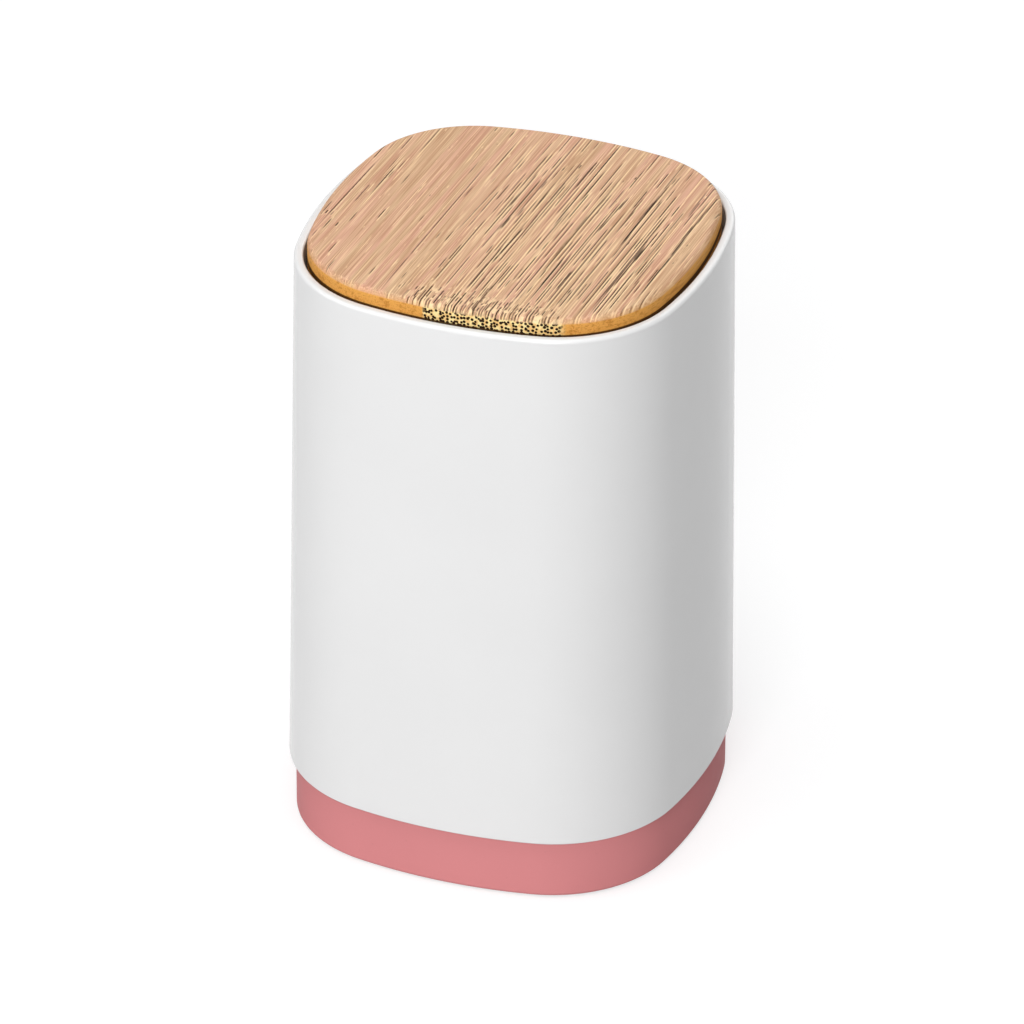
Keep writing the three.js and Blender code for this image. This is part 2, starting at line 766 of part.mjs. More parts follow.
function lidPlate() {
  let body = prism(lidPlateOffset, lidPlateBottom, lidPlateTop);
  for (const [x, y] of lidScrewPlaces) {
    const room = upFrom(flatScrewRoom(smallScrew, lidScrewLength), lidPlateBottom);
    body = cut(body, turned(room, screwSteps, x, y));
  }
  for (const [x, y] of postPlaces) {
    const room = downFrom(flatScrewRoom(smallScrew, postScrewLength), lidPlateTop);
    body = cut(body, turned(room, screwSteps, x, y));
  }
  make("lid_plate", body, whiteSatin, lift);
  const lidScrew = flatScrew(smallScrew, lidScrewLength);
  lidScrewPlaces.forEach(([x, y], i) => {
    makeScrew(`lid_screw_${i + 1}`, lidScrew, lift, [x, y, lidPlateBottom]);
  });
  const postScrew = flatScrew(smallScrew, postScrewLength);
  postPlaces.forEach(([x, y], i) => {
    makeScrew(`post_screw_${i + 1}`, postScrew, lift, [x, y, lidPlateTop], upsideDown);
  });
}

function pickCup() {
  let body = turned(
    [
      [0, cupBottom],
      [cupRadius, cupBottom],
      [cupRadius, cupTop],
      [cupInner, cupTop],
      [cupInner, cupFloorTop],
      [0, cupFloorTop],
    ],
    cupSteps,
  );
  const wide = [-windowWidth / 2, windowWidth / 2];
  const across = [-cupRadius - cutOver, cupRadius + cutOver];
  const up = [windowSill, windowTop];
  body = cut(body, block(across, wide, up), block(wide, across, up));
  for (const [x, y] of postPlaces) {
    body = add(body, rod(postRadius, cupFloorTop - cupFloor / 2, cupTop, screwSteps, x, y));
  }
  for (const [x, y] of postPlaces) {
    const depth = lidPlateTop - postScrewLength - screwGap;
    body = cut(body, rod(smallScrew.shaft + screwGap, depth, cupTop + cutOver, screwSteps, x, y));
  }
  for (const [x, y] of cupScrewPlaces) {
    const end = carriageBottom + cupScrewLength + screwGap;
    body = cut(body, rod(smallScrew.shaft + screwGap, cupBottom - cutOver, end, screwSteps, x, y));
  }
  make("pick_cup", body, milky, lift);
}

function liftCarriage() {
  const bossUp = [bossBottom, carriageTop];
  const deep = (carriageInner + carriageRadius) / 2;
  const bossHalf = damperRadius + damperEarRadius / 2;
  let body = rod(carriageRadius, carriageBottom, carriageTop, cupSteps, 0, 0);
  body = add(
    body,
    block([deep - carriageWall, bossFace], [-leafWidth, leafWidth], bossUp),
    block([-bossFace, carriageWall - deep], [gearAside - bossHalf, gearAside + bossHalf], bossUp),
  );
  for (const [x, y] of rodPlaces) {
    const web = new THREE.BoxGeometry(Math.hypot(x, y), webThickness, hubLength)
      .translate(Math.hypot(x, y) / 2, 0, (hubBottom + hubTop) / 2)
      .rotateZ(Math.atan2(y, x));
    body = add(body, solidOf(web), rod(hubRadius, hubBottom, hubTop, rodSteps, x, y));
    const bore = [hubBottom - cutOver, hubTop + cutOver];
    body = cut(body, rod(bushRadius + seatGap, ...bore, rodSteps, x, y));
  }
  body = cut(body, rod(carriageInner, carriageFloorTop, carriageTop + cutOver, cupSteps, 0, 0));
  for (const [x, y] of cupScrewPlaces) {
    const room = upFrom(flatScrewRoom(smallScrew, cupScrewLength), carriageBottom);
    body = cut(body, turned(room, screwSteps, x, y));
  }
  const hole = (r, side, y, z) => {
    const xs = [carriageInner - cutOver, bossFace + cutOver].map((v) => v * side).sort((a, b) => a - b);
    return crossRod(r, ...xs, screwSteps, y, z);
  };
  body = cut(
    body,
    hole(smallScrew.shaft + screwGap, -1, gearAside, gearHeight - damperEarCircle),
    hole(smallScrew.shaft + screwGap, -1, gearAside, gearHeight + damperEarCircle),
    hole(wireRadius + fitGap, 1, 0, pivotHeight),
    hole(smallScrew.shaft + screwGap, 1, 0, leafScrewHeight),
  );
  make("lift_carriage", body, whiteSatin, lift);
  const cupScrew = flatScrew(smallScrew, cupScrewLength);
  cupScrewPlaces.forEach(([x, y], i) => {
    makeScrew(`cup_screw_${i + 1}`, cupScrew, lift, [x, y, carriageBottom]);
  });
}

function rodBushes() {
  const bore = rodRadius + screwGap;
  const flange = bushRadius + bushFlange;
  const bush = turned(
    [
      [bore, bushBottom],
      [flange, bushBottom],
      [flange, hubBottom - seatGap],
      [bushRadius, hubBottom - seatGap],
      [bushRadius, hubTop],
      [bore, hubTop],
      [bore, bushBottom],
    ],
    rodSteps,
  );
  rodPlaces.forEach(([x, y], i) => make(`rod_bush_${i + 1}`, bush, acetal, lift, [x, y, 0]));
}

// The damper's housing is screwed to the carriage by two ears, with its gear on the outside.
function damperHousing() {
  const inner = -bossFace - seatGap;
  const outer = inner - damperThickness;
  const ears = [gearHeight - damperEarCircle, gearHeight + damperEarCircle];
  let body = crossRod(damperRadius, outer, inner, cupSteps / 2, gearAside, gearHeight);
  for (const z of ears) {
    body = add(body, crossRod(damperEarRadius, outer, inner, rodSteps, gearAside, z));
  }
  const neck = [gearAside - damperEarRadius, gearAside + damperEarRadius];
  body = add(body, block([outer, inner], neck, ears));
  for (const z of ears) {
    const r = smallScrew.shaft + screwGap;
    body = cut(body, crossRod(r, outer - cutOver, inner + cutOver, screwSteps, gearAside, z));
  }
  const bore = [outer - cutOver, inner - damperThickness / 4];
  body = cut(body, crossRod(axleRadius + screwGap, ...bore, rodSteps, gearAside, gearHeight));
  make("damper_housing", body, darkPlastic, lift);
  const screw = panScrew(smallScrew, damperScrewLength);
  ears.forEach((z, i) => {
    makeScrew(`damper_screw_${i + 1}`, screw, lift, [outer - seatGap, gearAside, z], towardsX);
  });
}

// An involute gear in mesh with the rack: a tooth points at the rack's space opposite its axis.
function damperGear() {
  const base = pitchRadius * Math.cos(pressureAngle);
  const tip = pitchRadius + toothAddendum;
  const root = pitchRadius - toothDedendum;
  const involute = (a) => Math.tan(a) - a;
  const atPitch = Math.PI / 2 / gearTeeth - toothBacklash / 4 / pitchRadius;
  const halfAngle = (r) => atPitch + involute(pressureAngle) - involute(Math.acos(Math.min(1, base / r)));
  const flankSteps = 4;
  const points = [];
  for (let tooth = 0; tooth < gearTeeth; tooth++) {
    const middle = Math.PI + (tooth * 2 * Math.PI) / gearTeeth;
    const put = (r, a) =>
      points.push([gearAside + r * Math.cos(middle + a), gearHeight + r * Math.sin(middle + a)]);
    put(root, -halfAngle(base));
    for (let i = 0; i <= flankSteps; i++) {
      const r = base + ((tip - base) * i) / flankSteps;
      put(r, -halfAngle(r));
    }
    for (let i = flankSteps; i >= 0; i--) {
      const r = base + ((tip - base) * i) / flankSteps;
      put(r, halfAngle(r));
    }
    put(root, halfAngle(base));
  }
  const axleEnd = -bossFace - seatGap - damperThickness / 4 - seatGap;
  const body = add(
    plate(points, -uprightOuter, -uprightInner),
    crossRod(axleRadius, -uprightInner - uprightThickness / 2, axleEnd, rodSteps, gearAside, gearHeight),
  );
  make("damper_gear", body, acetal, lift);
}

// The latch wire: a bent pin that turns in the carriage and rides with its tip in the cam plate's track.
function latchWire() {
  const inner = carriageInner + seatGap;
  const outer = uprightInner + camDepth - seatGap;
  const path = new THREE.CurvePath();
  const at = (x, z) => new THREE.Vector3(x, 0, z);
  const bend = 2 * wireRadius;
  path.add(new THREE.LineCurve3(at(inner, pivotHeight), at(wirePlane - bend, pivotHeight)));
  path.add(
    new THREE.QuadraticBezierCurve3(
      at(wirePlane - bend, pivotHeight),
      at(wirePlane, pivotHeight),
      at(wirePlane, pivotHeight - bend),
    ),
  );
  path.add(new THREE.LineCurve3(at(wirePlane, pivotHeight - bend), at(wirePlane, tipHeight + bend)));
  path.add(
    new THREE.QuadraticBezierCurve3(
      at(wirePlane, tipHeight + bend),
      at(wirePlane, tipHeight),
      at(wirePlane + bend, tipHeight),
    ),
  );
  path.add(new THREE.LineCurve3(at(wirePlane + bend, tipHeight), at(outer, tipHeight)));
  const section = new THREE.Shape().absarc(0, 0, wireRadius, 0, 2 * Math.PI);
  const steps = 40;
  const wire = new THREE.ExtrudeGeometry(section, { steps, curveSegments: 4, extrudePath: path });
  make("latch_wire", solidOf(wire), springSteel, lift);
}

// A leaf spring behind the wire keeps its tip in the track. The wire's pivot goes through it.
function latchLeaf() {
  const x0 = bossFace + seatGap;
  const x1 = x0 + leafBow;
  const top = carriageTop;
  const bottom = top - leafLength;
  const knee = bottom + leafLength / 4;
  const flatEnd = pivotHeight - smallScrew.head;
  const shape = new THREE.Shape(
    [
      [x0, top],
      [x0, flatEnd],
      [x1 - leafThickness, knee],
      [x0, bottom],
      [x0 + leafThickness, bottom],
      [x1, knee],
      [x0 + leafThickness, flatEnd],
      [x0 + leafThickness, top],
    ].map(([x, z]) => new THREE.Vector2(x, z)),
  );
  const strip = new THREE.ExtrudeGeometry(shape, { depth: leafWidth, bevelEnabled: false })
    .rotateX(Math.PI / 2)
    .translate(0, leafWidth / 2, 0);
  const through = [x0 - cutOver, x0 + cutOver];
  const body = cut(
    solidOf(strip),
    crossRod(wireRadius + fitGap, ...through, screwSteps, 0, pivotHeight),
    crossRod(smallScrew.shaft + screwGap, ...through, screwSteps, 0, leafScrewHeight),
  );
  make("latch_leaf", body, springSteel, lift);
  const screw = panScrew(smallScrew, leafScrewLength);
  makeScrew("leaf_screw", screw, lift, [x0 + leafThickness + seatGap, 0, leafScrewHeight], awayFromX);
}

basePlinth();
baseCover();
outerSleeve();
guideRods();
wellRing();
damperRack();
latchCamPlate();
uprightScrews();
bambooLid();
lidPlate();
pickCup();
liftCarriage();
rodBushes();
damperHousing();
damperGear();
latchWire();
latchLeaf();

console.log(`least gap between a spring's turns: ${springGap(springPath()).toFixed(2)} mm`);

export default dispenser;
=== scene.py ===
"""Builds the looks of a press-to-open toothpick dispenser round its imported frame.

Sizes are in millimetres and turn into metres where a mesh is made. +Z is up, the latch is on +X and the
damper on -X. What stands still rides on "stand", and the lid with all that hangs under it on "lift".
"""

import logging
import math
from collections.abc import Iterable, Sequence
from dataclasses import dataclass
from enum import Enum
from functools import cache

import bmesh
import bpy
from mathutils import Matrix, Vector


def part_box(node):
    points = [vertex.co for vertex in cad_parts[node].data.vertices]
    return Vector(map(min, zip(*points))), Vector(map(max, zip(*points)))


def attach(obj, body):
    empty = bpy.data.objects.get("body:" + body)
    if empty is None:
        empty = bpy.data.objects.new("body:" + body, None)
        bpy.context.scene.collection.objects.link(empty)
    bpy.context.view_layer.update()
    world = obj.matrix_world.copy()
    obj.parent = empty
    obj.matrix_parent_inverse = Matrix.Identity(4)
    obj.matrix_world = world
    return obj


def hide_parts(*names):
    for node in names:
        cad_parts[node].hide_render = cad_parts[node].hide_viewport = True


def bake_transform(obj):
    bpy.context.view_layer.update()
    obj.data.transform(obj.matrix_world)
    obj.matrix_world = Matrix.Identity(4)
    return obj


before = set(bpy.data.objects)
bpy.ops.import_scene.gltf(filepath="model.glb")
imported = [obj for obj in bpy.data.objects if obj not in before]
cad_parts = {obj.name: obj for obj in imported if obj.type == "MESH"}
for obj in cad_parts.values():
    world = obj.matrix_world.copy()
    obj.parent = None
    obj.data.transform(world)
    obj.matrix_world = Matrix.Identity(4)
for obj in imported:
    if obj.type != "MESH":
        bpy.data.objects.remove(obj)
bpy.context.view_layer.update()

MM = 0.001
Pair = tuple[float, float]
Triple = tuple[float, float, float]
Colour = tuple[float, float, float, float]
Span = tuple[float, ...]
Socket = bpy.types.NodeSocket
Node = bpy.types.Node
Tree = bpy.types.NodeTree
Piece = bpy.types.Object
WHITE_LIGHT: Colour = (1.0, 1.0, 1.0, 1.0)
log = logging.getLogger("dispenser")


class Body(Enum):
    """The bodies of the frame that the made pieces ride on."""

    STAND = "stand"
    LIFT = "lift"


class Operation(Enum):
    """How one solid changes another."""

    JOIN = "UNION"
    CUT = "DIFFERENCE"


class ScrewHead(Enum):
    """The two kinds of screw head."""

    FLAT = "flat"
    PAN = "pan"


class Facing(Enum):
    """Which way a screw's tip points, as a turn about X, Y and Z."""

    UP = (0.0, 0.0, 0.0)
    DOWN = (math.pi, 0.0, 0.0)
    PLUS_X = (0.0, math.pi / 2, 0.0)
    MINUS_X = (0.0, -math.pi / 2, 0.0)


# Node trees


class Graph:
    """Short calls that add nodes to one tree and join them."""

    def __init__(self, tree: Tree) -> None:
        """Keeps the tree that the nodes go into."""
        self.tree = tree

    def feed(self, socket: Socket, value: object) -> None:
        """Links a socket to an input, or sets its value.

        Args:
            socket: The input.
            value: Another node's output, a plain value, or None to leave the input as it is.
        """
        if isinstance(value, Socket):
            self.tree.links.new(value, socket)
        elif value is not None:
            socket.default_value = value

    def node(self, kind: str, *values: object, **settings: object) -> Node:
        """Adds a node.

        Args:
            kind: Blender's name for the kind of node.
            values: What each input gets, in order.
            settings: The node's own settings.

        Returns:
            The new node.
        """
        node = self.tree.nodes.new(kind)
        for key, value in settings.items():
            setattr(node, key, value)
        for socket, value in zip(node.inputs, values, strict=False):
            self.feed(socket, value)
        return node

    def fill(self, node: Node, values: dict[str, object]) -> Node:
        """Feeds some of a node's inputs.

        Args:
            node: The node.
            values: What the inputs get, by name.

        Returns:
            The same node.
        """
        for name, value in values.items():
            self.feed(node.inputs[name], value)
        return node

    def group(self, tree: Tree, values: dict[str, object]) -> Node:
        """Adds a node group whose inputs get values by name."""
        return self.fill(self.node("ShaderNodeGroup", node_tree=tree), values)

    def math(self, operation: str, *values: object) -> Socket:
        """Gives the result of a math node with one to three inputs."""
        return self.node("ShaderNodeMath", *values, operation=operation).outputs[0]

    def times(self, first: object, second: object) -> Socket:
        """Multiplies two numbers."""
        return self.math("MULTIPLY", first, second)

    def plus(self, first: object, second: object) -> Socket:
        """Adds two numbers."""
        return self.math("ADD", first, second)

    def minus(self, first: object, second: object) -> Socket:
        """Subtracts the second number from the first."""
        return self.math("SUBTRACT", first, second)

    def divided(self, first: object, second: object) -> Socket:
        """Divides the first number by the second."""
        return self.math("DIVIDE", first, second)

    def most(self, first: object, second: object) -> Socket:
        """Gives the larger of two numbers."""
        return self.math("MAXIMUM", first, second)

    def scaled(self, number: object, factor: object, rest: object) -> Socket:
        """Multiplies a number by a factor and adds the rest."""
        return self.math("MULTIPLY_ADD", number, factor, rest)

    def size_of(self, number: object) -> Socket:
        """Drops a number's sign."""
        return self.math("ABSOLUTE", number)

    def vector(self, operation: str, *values: object) -> Socket:
        """Gives the vector that a vector math node makes, or its number where the operation gives one."""
        node = self.node("ShaderNodeVectorMath", *values, operation=operation)
        return node.outputs[1 if operation in ("LENGTH", "DISTANCE", "DOT_PRODUCT") else 0]

    def xyz(self, x: object = 0.0, y: object = 0.0, z: object = 0.0) -> Socket:
        """Joins three numbers into a vector."""
        return self.node("ShaderNodeCombineXYZ", x, y, z).outputs[0]

    def parts(self, vector: Socket) -> list[Socket]:
        """Splits a vector into x, y and z."""
        return list(self.node("ShaderNodeSeparateXYZ", vector).outputs)

    def ramp(
        self, value: object, low: float, high: float, out_low: float = 0.0, out_high: float = 1.0
    ) -> Socket:
        """Eases a number from the range low to high into the range out_low to out_high."""
        values = (value, low, high, out_low, out_high)
        return self.node("ShaderNodeMapRange", *values, interpolation_type="SMOOTHSTEP").outputs[0]

    def spread(self, noise: Socket, out_low: float = 0.0, out_high: float = 1.0) -> Socket:
        """Eases the range that a noise mostly stays in into another range."""
        least, most = 0.3, 0.7
        return self.ramp(noise, least, most, out_low, out_high)

    def noise(self, place: object, scale: object, detail: float = 2.0, roughness: float = 0.5) -> Socket:
        """Gives a noise from 0 to 1, with so many features per metre and so many finer layers."""
        return self.node("ShaderNodeTexNoise", place, None, scale, detail, roughness).outputs[0]

    def stretched(self, place: object, scales: object, detail: float, roughness: float = 0.5) -> Socket:
        """Gives a noise from 0 to 1, with so many features per metre along each axis."""
        return self.noise(self.vector("MULTIPLY", place, scales), 1.0, detail, roughness)

    def mix(self, factor: object, first: object, second: object) -> Socket:
        """Mixes two colours.

        Args:
            factor: How much of the second is used.
            first: The colour at factor 0.
            second: The colour at factor 1.

        Returns:
            The mixed colour.
        """
        node = self.node("ShaderNodeMix", factor, data_type="RGBA")
        colours = [s for s in node.inputs if s.type == "RGBA"]
        self.feed(colours[0], first)
        self.feed(colours[1], second)
        return next(s for s in node.outputs if s.type == "RGBA")

    def bump(self, height: object, depth: float, strength: float = 1.0) -> Socket:
        """Turns a height from 0 to 1 into a normal, where 1 is so many metres."""
        return self.node("ShaderNodeBump", strength, depth, None, height).outputs[0]


@dataclass(frozen=True)
class Port:
    """An input or an output of a node group."""

    name: str
    kind: str = "Float"
    value: object = None
    out: bool = False


PLACE = Port("Place", "Vector")
MATERIAL = Port("Material", "Material")


def inputs(*names: str, kind: str = "Float") -> list[Port]:
    """Gives the ports of inputs of one kind."""
    return [Port(name, kind) for name in names]


def outputs(*names: str, kind: str = "Float") -> list[Port]:
    """Gives the ports of outputs of one kind."""
    return [Port(name, kind, out=True) for name in names]


def group_graph(name: str, family: str, ports: Sequence[Port]) -> tuple[Graph, dict[str, Socket], Node]:
    """Starts a node group.

    Args:
        name: The group's name.
        family: ShaderNodeTree or GeometryNodeTree.
        ports: Its inputs and outputs.

    Returns:
        The graph, its inputs by name, and the node that takes the outputs.
    """
    tree = bpy.data.node_groups.new(name, family)
    for port in ports:
        way = "OUTPUT" if port.out else "INPUT"
        socket = tree.interface.new_socket(port.name, in_out=way, socket_type=f"NodeSocket{port.kind}")
        if port.value is not None:
            socket.default_value = port.value
    graph = Graph(tree)
    given = graph.node("NodeGroupInput")
    result = graph.node("NodeGroupOutput")
    return graph, {s.name: s for s in given.outputs if s.name}, result


# Shader groups that several finishes share


@cache
def moulded_skin() -> Tree:
    """Makes the skin of a moulded plastic: a fine spark-eroded grain and slow tones of the melt's flow.

    Returns:
        The group, with outputs Tone, Sheen and Height, each about 0 to 1.
    """
    ports = [PLACE, *inputs("Grains per Metre"), Port("Flows per Metre", value=38.0)]
    ports += outputs("Tone", "Sheen", "Height")
    graph, given, result = group_graph("moulded_skin", "ShaderNodeTree", ports)
    grain_roughness, flow_roughness, finer = 0.6, 0.55, 9.0
    fine = graph.noise(given["Place"], given["Grains per Metre"], 2.0, grain_roughness)
    slow = graph.noise(given["Place"], given["Flows per Metre"], 3.0, flow_roughness)
    between = graph.noise(given["Place"], graph.times(given["Flows per Metre"], finer), 2.0)
    tone_share, sheen_share = 0.75, 0.4
    tone = graph.plus(graph.times(slow, tone_share), graph.times(fine, 1 - tone_share))
    sheen = graph.plus(graph.times(slow, sheen_share), graph.times(between, 1 - sheen_share))
    graph.fill(result, {"Tone": tone, "Sheen": sheen, "Height": fine})
    return graph.tree


@cache
def drawn_lines() -> Tree:
    """Makes fine lines along one direction, as on drawn, turned or rolled metal.

    Returns:
        The group, with outputs Line and Patch, each about 0 to 1.
    """
    ports = [PLACE, *inputs("Lines per Metre", kind="Vector"), *outputs("Line", "Patch")]
    graph, given, result = group_graph("drawn_lines", "ShaderNodeTree", ports)
    patches_per_metre, detail, roughness = 420.0, 3.0, 0.6
    lines = graph.stretched(given["Place"], given["Lines per Metre"], detail, roughness)
    patch = graph.noise(given["Place"], patches_per_metre, detail, roughness)
    graph.fill(result, {"Line": lines, "Patch": patch})
    return graph.tree


@cache
def fine_dust() -> Tree:
    """Makes sparse specks, such as settled dust and tiny pits.

    Returns:
        The group, with the output Speck, which is 1 on a speck.
    """
    ports = [PLACE, Port("Specks per Metre", value=900.0), *inputs("Share"), *outputs("Speck")]
    graph, given, result = group_graph("fine_dust", "ShaderNodeTree", ports)
    cells = graph.node("ShaderNodeTexVoronoi", given["Place"], None, given["Specks per Metre"])
    outer, inner = 0.22, 0.1
    near = graph.ramp(cells.outputs["Distance"], outer, inner)
    chance = graph.node("ShaderNodeSeparateColor", cells.outputs["Color"]).outputs[0]
    chosen = graph.math("LESS_THAN", chance, given["Share"])
    graph.fill(result, {"Speck": graph.times(near, chosen)})
    return graph.tree


@cache
def bamboo_fibres() -> Tree:
    """Makes the ground of solid bamboo whose fibres run along Y, from broad tints to single fibres.

    Returns:
        The group, with outputs Tint, Streak and Fibre, each about 0 to 1.
    """
    ports = [PLACE, *outputs("Tint", "Streak", "Fibre")]
    graph, given, result = group_graph("bamboo_fibres", "ShaderNodeTree", ports)
    roughness = 0.55
    for name, across, along, detail in (
        ("Tint", 480.0, 8.0, 1.0),
        ("Streak", 1900.0, 18.0, 1.5),
        ("Fibre", 5200.0, 70.0, 1.5),
    ):
        noise = graph.stretched(given["Place"], (across, along, across), detail, roughness)
        graph.fill(result, {name: noise})
    return graph.tree


@cache
def pore_lines() -> Tree:
    """Makes dark open pores along Y, at most one in each narrow column, with a pale line on one side of each
    that is partly pale fibre and partly painted highlight.

    Returns:
        The group, with outputs Pore and Pale, each 0 to 1.
    """
    ports = [PLACE, *inputs("Column", "Half Width", "Breaks per Metre", "Share"), *outputs("Pore", "Pale")]
    graph, given, result = group_graph("pore_lines", "ShaderNodeTree", ports)
    wander, margin, core_share = 0.6, 0.2, 0.65
    column_step, run_step = 7.31, 90.0
    no_pores, per_share, soft, rim = 0.72, 0.42, 0.07, 0.08
    least_dark, dark_swing = 0.55, 0.45
    x, y, _ = graph.parts(given["Place"])
    half = given["Half Width"]
    column = graph.divided(x, given["Column"])
    number = graph.math("FLOOR", column)
    chance = graph.node("ShaderNodeTexWhiteNoise", graph.xyz(number, given["Column"]), noise_dimensions="2D")
    shift, dark, start = graph.node("ShaderNodeSeparateColor", chance.outputs["Color"]).outputs
    axis = graph.plus(number, graph.scaled(shift, wander, margin))
    aside = graph.times(graph.minus(column, axis), given["Column"])
    beside = graph.scaled(half, -2.0, aside)
    inner = graph.times(half, core_share)
    line = graph.ramp(graph.size_of(aside), half, inner)
    # Painted highlight, partly pale fibre: the pale line two half widths to one side of each pore.
    pale = graph.ramp(graph.size_of(beside), half, inner)
    run = graph.scaled(y, given["Breaks per Metre"], graph.times(start, run_step))
    value = graph.noise(graph.xyz(graph.times(number, column_step), run), 1.0, 1.0)
    limit = graph.scaled(given["Share"], -per_share, no_pores)
    pores = graph.ramp(value, limit, graph.plus(limit, soft))
    near = graph.ramp(value, graph.minus(limit, rim), limit)
    weight = graph.scaled(dark, dark_swing, least_dark)
    pore = graph.times(graph.times(line, pores), weight)
    graph.fill(result, {"Pore": pore, "Pale": graph.times(graph.times(pale, near), weight)})
    return graph.tree


@cache
def cut_ends() -> Tree:
    """Makes the dark ends of cut fibre bundles, as dots in the plane of X and Z.

    Returns:
        The group, with the output Dot, which is 1 on a dot.
    """
    disorder, least_reach, reach_swing, soft = 0.8, 0.38, 0.12, 0.1
    ports = [PLACE, Port("Spacing", value=0.00054), Port("Share", value=0.95), *outputs("Dot")]
    graph, given, result = group_graph("cut_ends", "ShaderNodeTree", ports)
    x, _, z = graph.parts(given["Place"])
    per_metre = graph.divided(1.0, given["Spacing"])
    cells = graph.node("ShaderNodeTexVoronoi", graph.xyz(x, z), None, per_metre, voronoi_dimensions="2D")
    graph.fill(cells, {"Randomness": disorder})
    chance = graph.node("ShaderNodeSeparateColor", cells.outputs["Color"]).outputs
    chosen = graph.math("LESS_THAN", chance[0], given["Share"])
    reach = graph.scaled(chance[1], reach_swing, least_reach)
    dot = graph.ramp(cells.outputs["Distance"], reach, graph.minus(reach, soft))
    graph.fill(result, {"Dot": graph.times(dot, chosen)})
    return graph.tree


# Finishes


@dataclass(frozen=True)
class Finish:
    """What a surface is made of and how it is finished."""

    name: str
    slot: str
    colour: Triple

    @cache
    def material(self) -> bpy.types.Material:
        """Makes the material once.

        Returns:
            The material.
        """
        material = bpy.data.materials.new(self.name)
        material.use_nodes = True
        graph = Graph(material.node_tree)
        graph.tree.nodes.clear()
        shader = graph.node("ShaderNodeBsdfPrincipled")
        graph.node("ShaderNodeOutputMaterial", shader.outputs[0])
        self.paint(graph, shader, graph.node("ShaderNodeTexCoord"))
        return material

    def paint(self, graph: Graph, shader: Node, place: Node) -> None:
        """Sets up the Principled shader; each kind of finish has its own way."""
        raise NotImplementedError

    def shade(self, share: float) -> Colour:
        """Gives the colour times a share, opaque."""
        return (*(min(1.0, c * share) for c in self.colour), 1.0)


@dataclass(frozen=True)
class MouldedPlastic(Finish):
    """A moulded plastic, satin or glossy, with a fine grain and a few specks."""

    roughness: float = 0.42
    roughness_swing: float = 0.1
    tone_swing: float = 0.05
    grain: float = 0.000004
    grains_per_metre: float = 5200.0
    milky: float = 0.0
    milky_depth: float = 0.0012
    milky_radius: Triple = (1.0, 0.9, 0.8)
    specular: float = 0.5
    speck_share: float = 0.05
    speck_strength: float = 0.12
    speck_tone: float = 0.72

    def paint(self, graph: Graph, shader: Node, place: Node) -> None:
        """Sets up the shader.

        Args:
            graph: The material's graph.
            shader: Its Principled shader.
            place: Its Texture Coordinate node.
        """
        at = place.outputs["Object"]
        skin = graph.group(moulded_skin(), {"Place": at, "Grains per Metre": self.grains_per_metre})
        dust = graph.group(fine_dust(), {"Place": at, "Share": self.speck_share})
        tone = graph.spread(skin.outputs["Tone"])
        colour = graph.mix(tone, self.shade(1 - self.tone_swing), self.shade(1 + self.tone_swing / 3))
        speck = graph.times(dust.outputs["Speck"], self.speck_strength)
        low = self.roughness - self.roughness_swing / 2
        high = self.roughness + self.roughness_swing / 2
        values = {
            "Base Color": graph.mix(speck, colour, self.shade(self.speck_tone)),
            "Roughness": graph.spread(skin.outputs["Sheen"], low, high),
            "Normal": graph.bump(skin.outputs["Height"], self.grain),
            "Specular IOR Level": self.specular,
        }
        if self.milky > 0:
            values["Subsurface Weight"] = self.milky
            values["Subsurface Radius"] = self.milky_radius
            values["Subsurface Scale"] = self.milky_depth
        graph.fill(shader, values)


@dataclass(frozen=True)
class Rubber(Finish):
    """A matt rubber with a powdery grain."""

    roughness: Pair = (0.74, 0.92)
    tones: Pair = (0.8, 1.15)
    grain: float = 0.00001
    grains_per_metre: float = 3400.0
    powder_share: float = 0.3
    powder_tone: float = 1.6

    def paint(self, graph: Graph, shader: Node, place: Node) -> None:
        """Sets up the shader.

        Args:
            graph: The material's graph.
            shader: Its Principled shader.
            place: Its Texture Coordinate node.
        """
        at = place.outputs["Object"]
        skin = graph.group(moulded_skin(), {"Place": at, "Grains per Metre": self.grains_per_metre})
        dust = graph.group(fine_dust(), {"Place": at, "Share": self.powder_share})
        tone = graph.spread(skin.outputs["Tone"])
        colour = graph.mix(tone, *(self.shade(share) for share in self.tones))
        values = {
            "Base Color": graph.mix(dust.outputs["Speck"], colour, self.shade(self.powder_tone)),
            "Roughness": graph.spread(skin.outputs["Sheen"], *self.roughness),
            "Normal": graph.bump(skin.outputs["Height"], self.grain),
        }
        graph.fill(shader, values)


@dataclass(frozen=True)
class Metal(Finish):
    """A bare metal with fine lines along one direction."""

    roughness: float = 0.24
    line_roughness: Pair = (-0.04, 0.05)
    patches: Span = (0.35, 0.7, 0.0, 0.1)
    tones: Pair = (0.86, 1.05)
    lines: Triple = (9000.0, 9000.0, 250.0)
    grain: float = 0.000002

    def paint(self, graph: Graph, shader: Node, place: Node) -> None:
        """Sets up the shader.

        Args:
            graph: The material's graph.
            shader: Its Principled shader.
            place: Its Texture Coordinate node.
        """
        drawn = graph.group(drawn_lines(), {"Place": place.outputs["Object"], "Lines per Metre": self.lines})
        tone = graph.spread(drawn.outputs["Line"])
        colour = graph.mix(tone, *(self.shade(share) for share in self.tones))
        patch = graph.ramp(drawn.outputs["Patch"], *self.patches)
        swing = [self.roughness + change for change in self.line_roughness]
        line = graph.spread(drawn.outputs["Line"], *swing)
        normal = graph.bump(drawn.outputs["Line"], self.grain)
        values = {
            "Base Color": colour,
            "Metallic": 1.0,
            "Roughness": graph.plus(patch, line),
            "Normal": normal,
        }
        graph.fill(shader, values)


